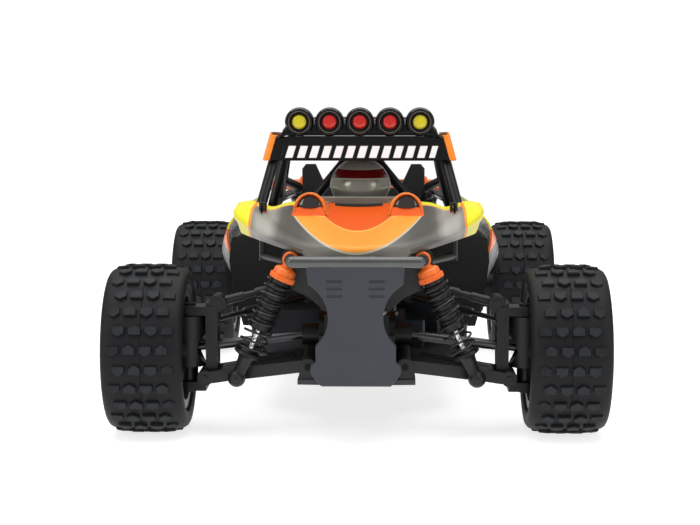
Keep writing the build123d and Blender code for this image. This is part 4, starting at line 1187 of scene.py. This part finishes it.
def camera():
    """Long lens a little above the lamps and to the car's left, looking slightly down."""
    data = bpy.data.cameras.new("camera")
    data.sensor_width = 36.0
    data.lens = 85.3
    data.clip_start = 0.01
    piece = linked("camera", data)
    piece.location = (0.012, -0.967, 0.173)
    piece.rotation_euler = (math.radians(84.03), 0.0, math.radians(1.08))
    bpy.context.scene.camera = piece


def area_light(name, place, target, size, power):
    """A soft box that faces its target."""
    data = bpy.data.lights.new(name, "AREA")
    data.shape = "RECTANGLE"
    data.size, data.size_y = size
    data.energy = power
    piece = linked(name, data)
    piece.location = place
    piece.rotation_euler = (Vector(target) - Vector(place)).to_track_quat("-Z", "Y").to_euler()


def studio_material(name, color, glow, far_glow):
    """Matt paint that glows a little, and more so far from the middle."""
    paint = Paint(name, color, 0.9, specular=0.1)
    x, y, z = paint.place()
    far = (x * x + y * y).power(0.5).above(1000.0, 800.0)
    paint.shader.inputs["Emission Color"].default_value = (1, 1, 1, 1)
    strength = far * (far_glow - glow) + glow
    paint.tree.links.new(strength.value, paint.shader.inputs["Emission Strength"])
    return paint.finish()


def studio():
    """Round pale floor, a white wall round it that only the camera sees, and soft boxes."""
    disc = lathe([(0.0, 0.0), (0.0, FLOOR_R)], (0, 0, 0), (0, 0, 1), 96)
    paper = studio_material("studio_paper", (0.50, 0.50, 0.50), 0.76, 0.95)
    new_piece("studio_floor", *disc, paper, None, "stage")
    profile = [(0.0, FLOOR_R)]
    for k in range(1, 13):
        turn = k * math.pi / 24
        profile.append((WALL_BEND * (1 - math.cos(turn)), FLOOR_R + WALL_BEND * math.sin(turn)))
    sheet = lathe(profile + [(3000.0, FLOOR_R + WALL_BEND)], (0, 0, 0), (0, 0, 1), 96)
    white = studio_material("studio_wall", (0.02, 0.02, 0.02), 1.0, 1.0)
    wall = new_piece("studio_wall", *sheet, white, None, "stage")
    wall.visible_diffuse = False
    wall.visible_glossy = False
    wall.visible_transmission = False
    wall.visible_shadow = False
    world = bpy.data.worlds.new("studio")
    world.use_nodes = True
    sky = world.node_tree.nodes["Background"]
    sky.inputs["Color"].default_value = (1, 1, 1, 1)
    sky.inputs["Strength"].default_value = 0.34
    bpy.context.scene.world = world
    area_light("soft_top", (0.0, -0.25, 1.3), (0, 0, 0.05), (1.6, 1.2), 16.0)
    area_light("soft_left", (-1.2, -0.9, 0.8), (0, 0, 0.08), (0.7, 0.9), 6.0)
    area_light("soft_right", (1.2, -0.8, 0.7), (0, 0, 0.08), (0.6, 0.9), 4.0)
    area_light("back_wash", (0.0, 1.0, 1.6), (0, 1.8, 0.3), (2.4, 0.8), 26.0)
    bpy.context.scene.view_settings.view_transform = "Standard"


def main():
    for end in ENDS:
        for side in SIDES:
            tyre(end, side)
            shock_shaft(end, side)
    shocks()
    roll_cage()
    front_bumper()
    hood()
    lamp_arches()
    side_panels()
    wheel_wells()
    rear_deck()
    roof()
    lenses()
    helmet()
    driver_body()
    plain_nodes()
    studio()
    camera()


main()
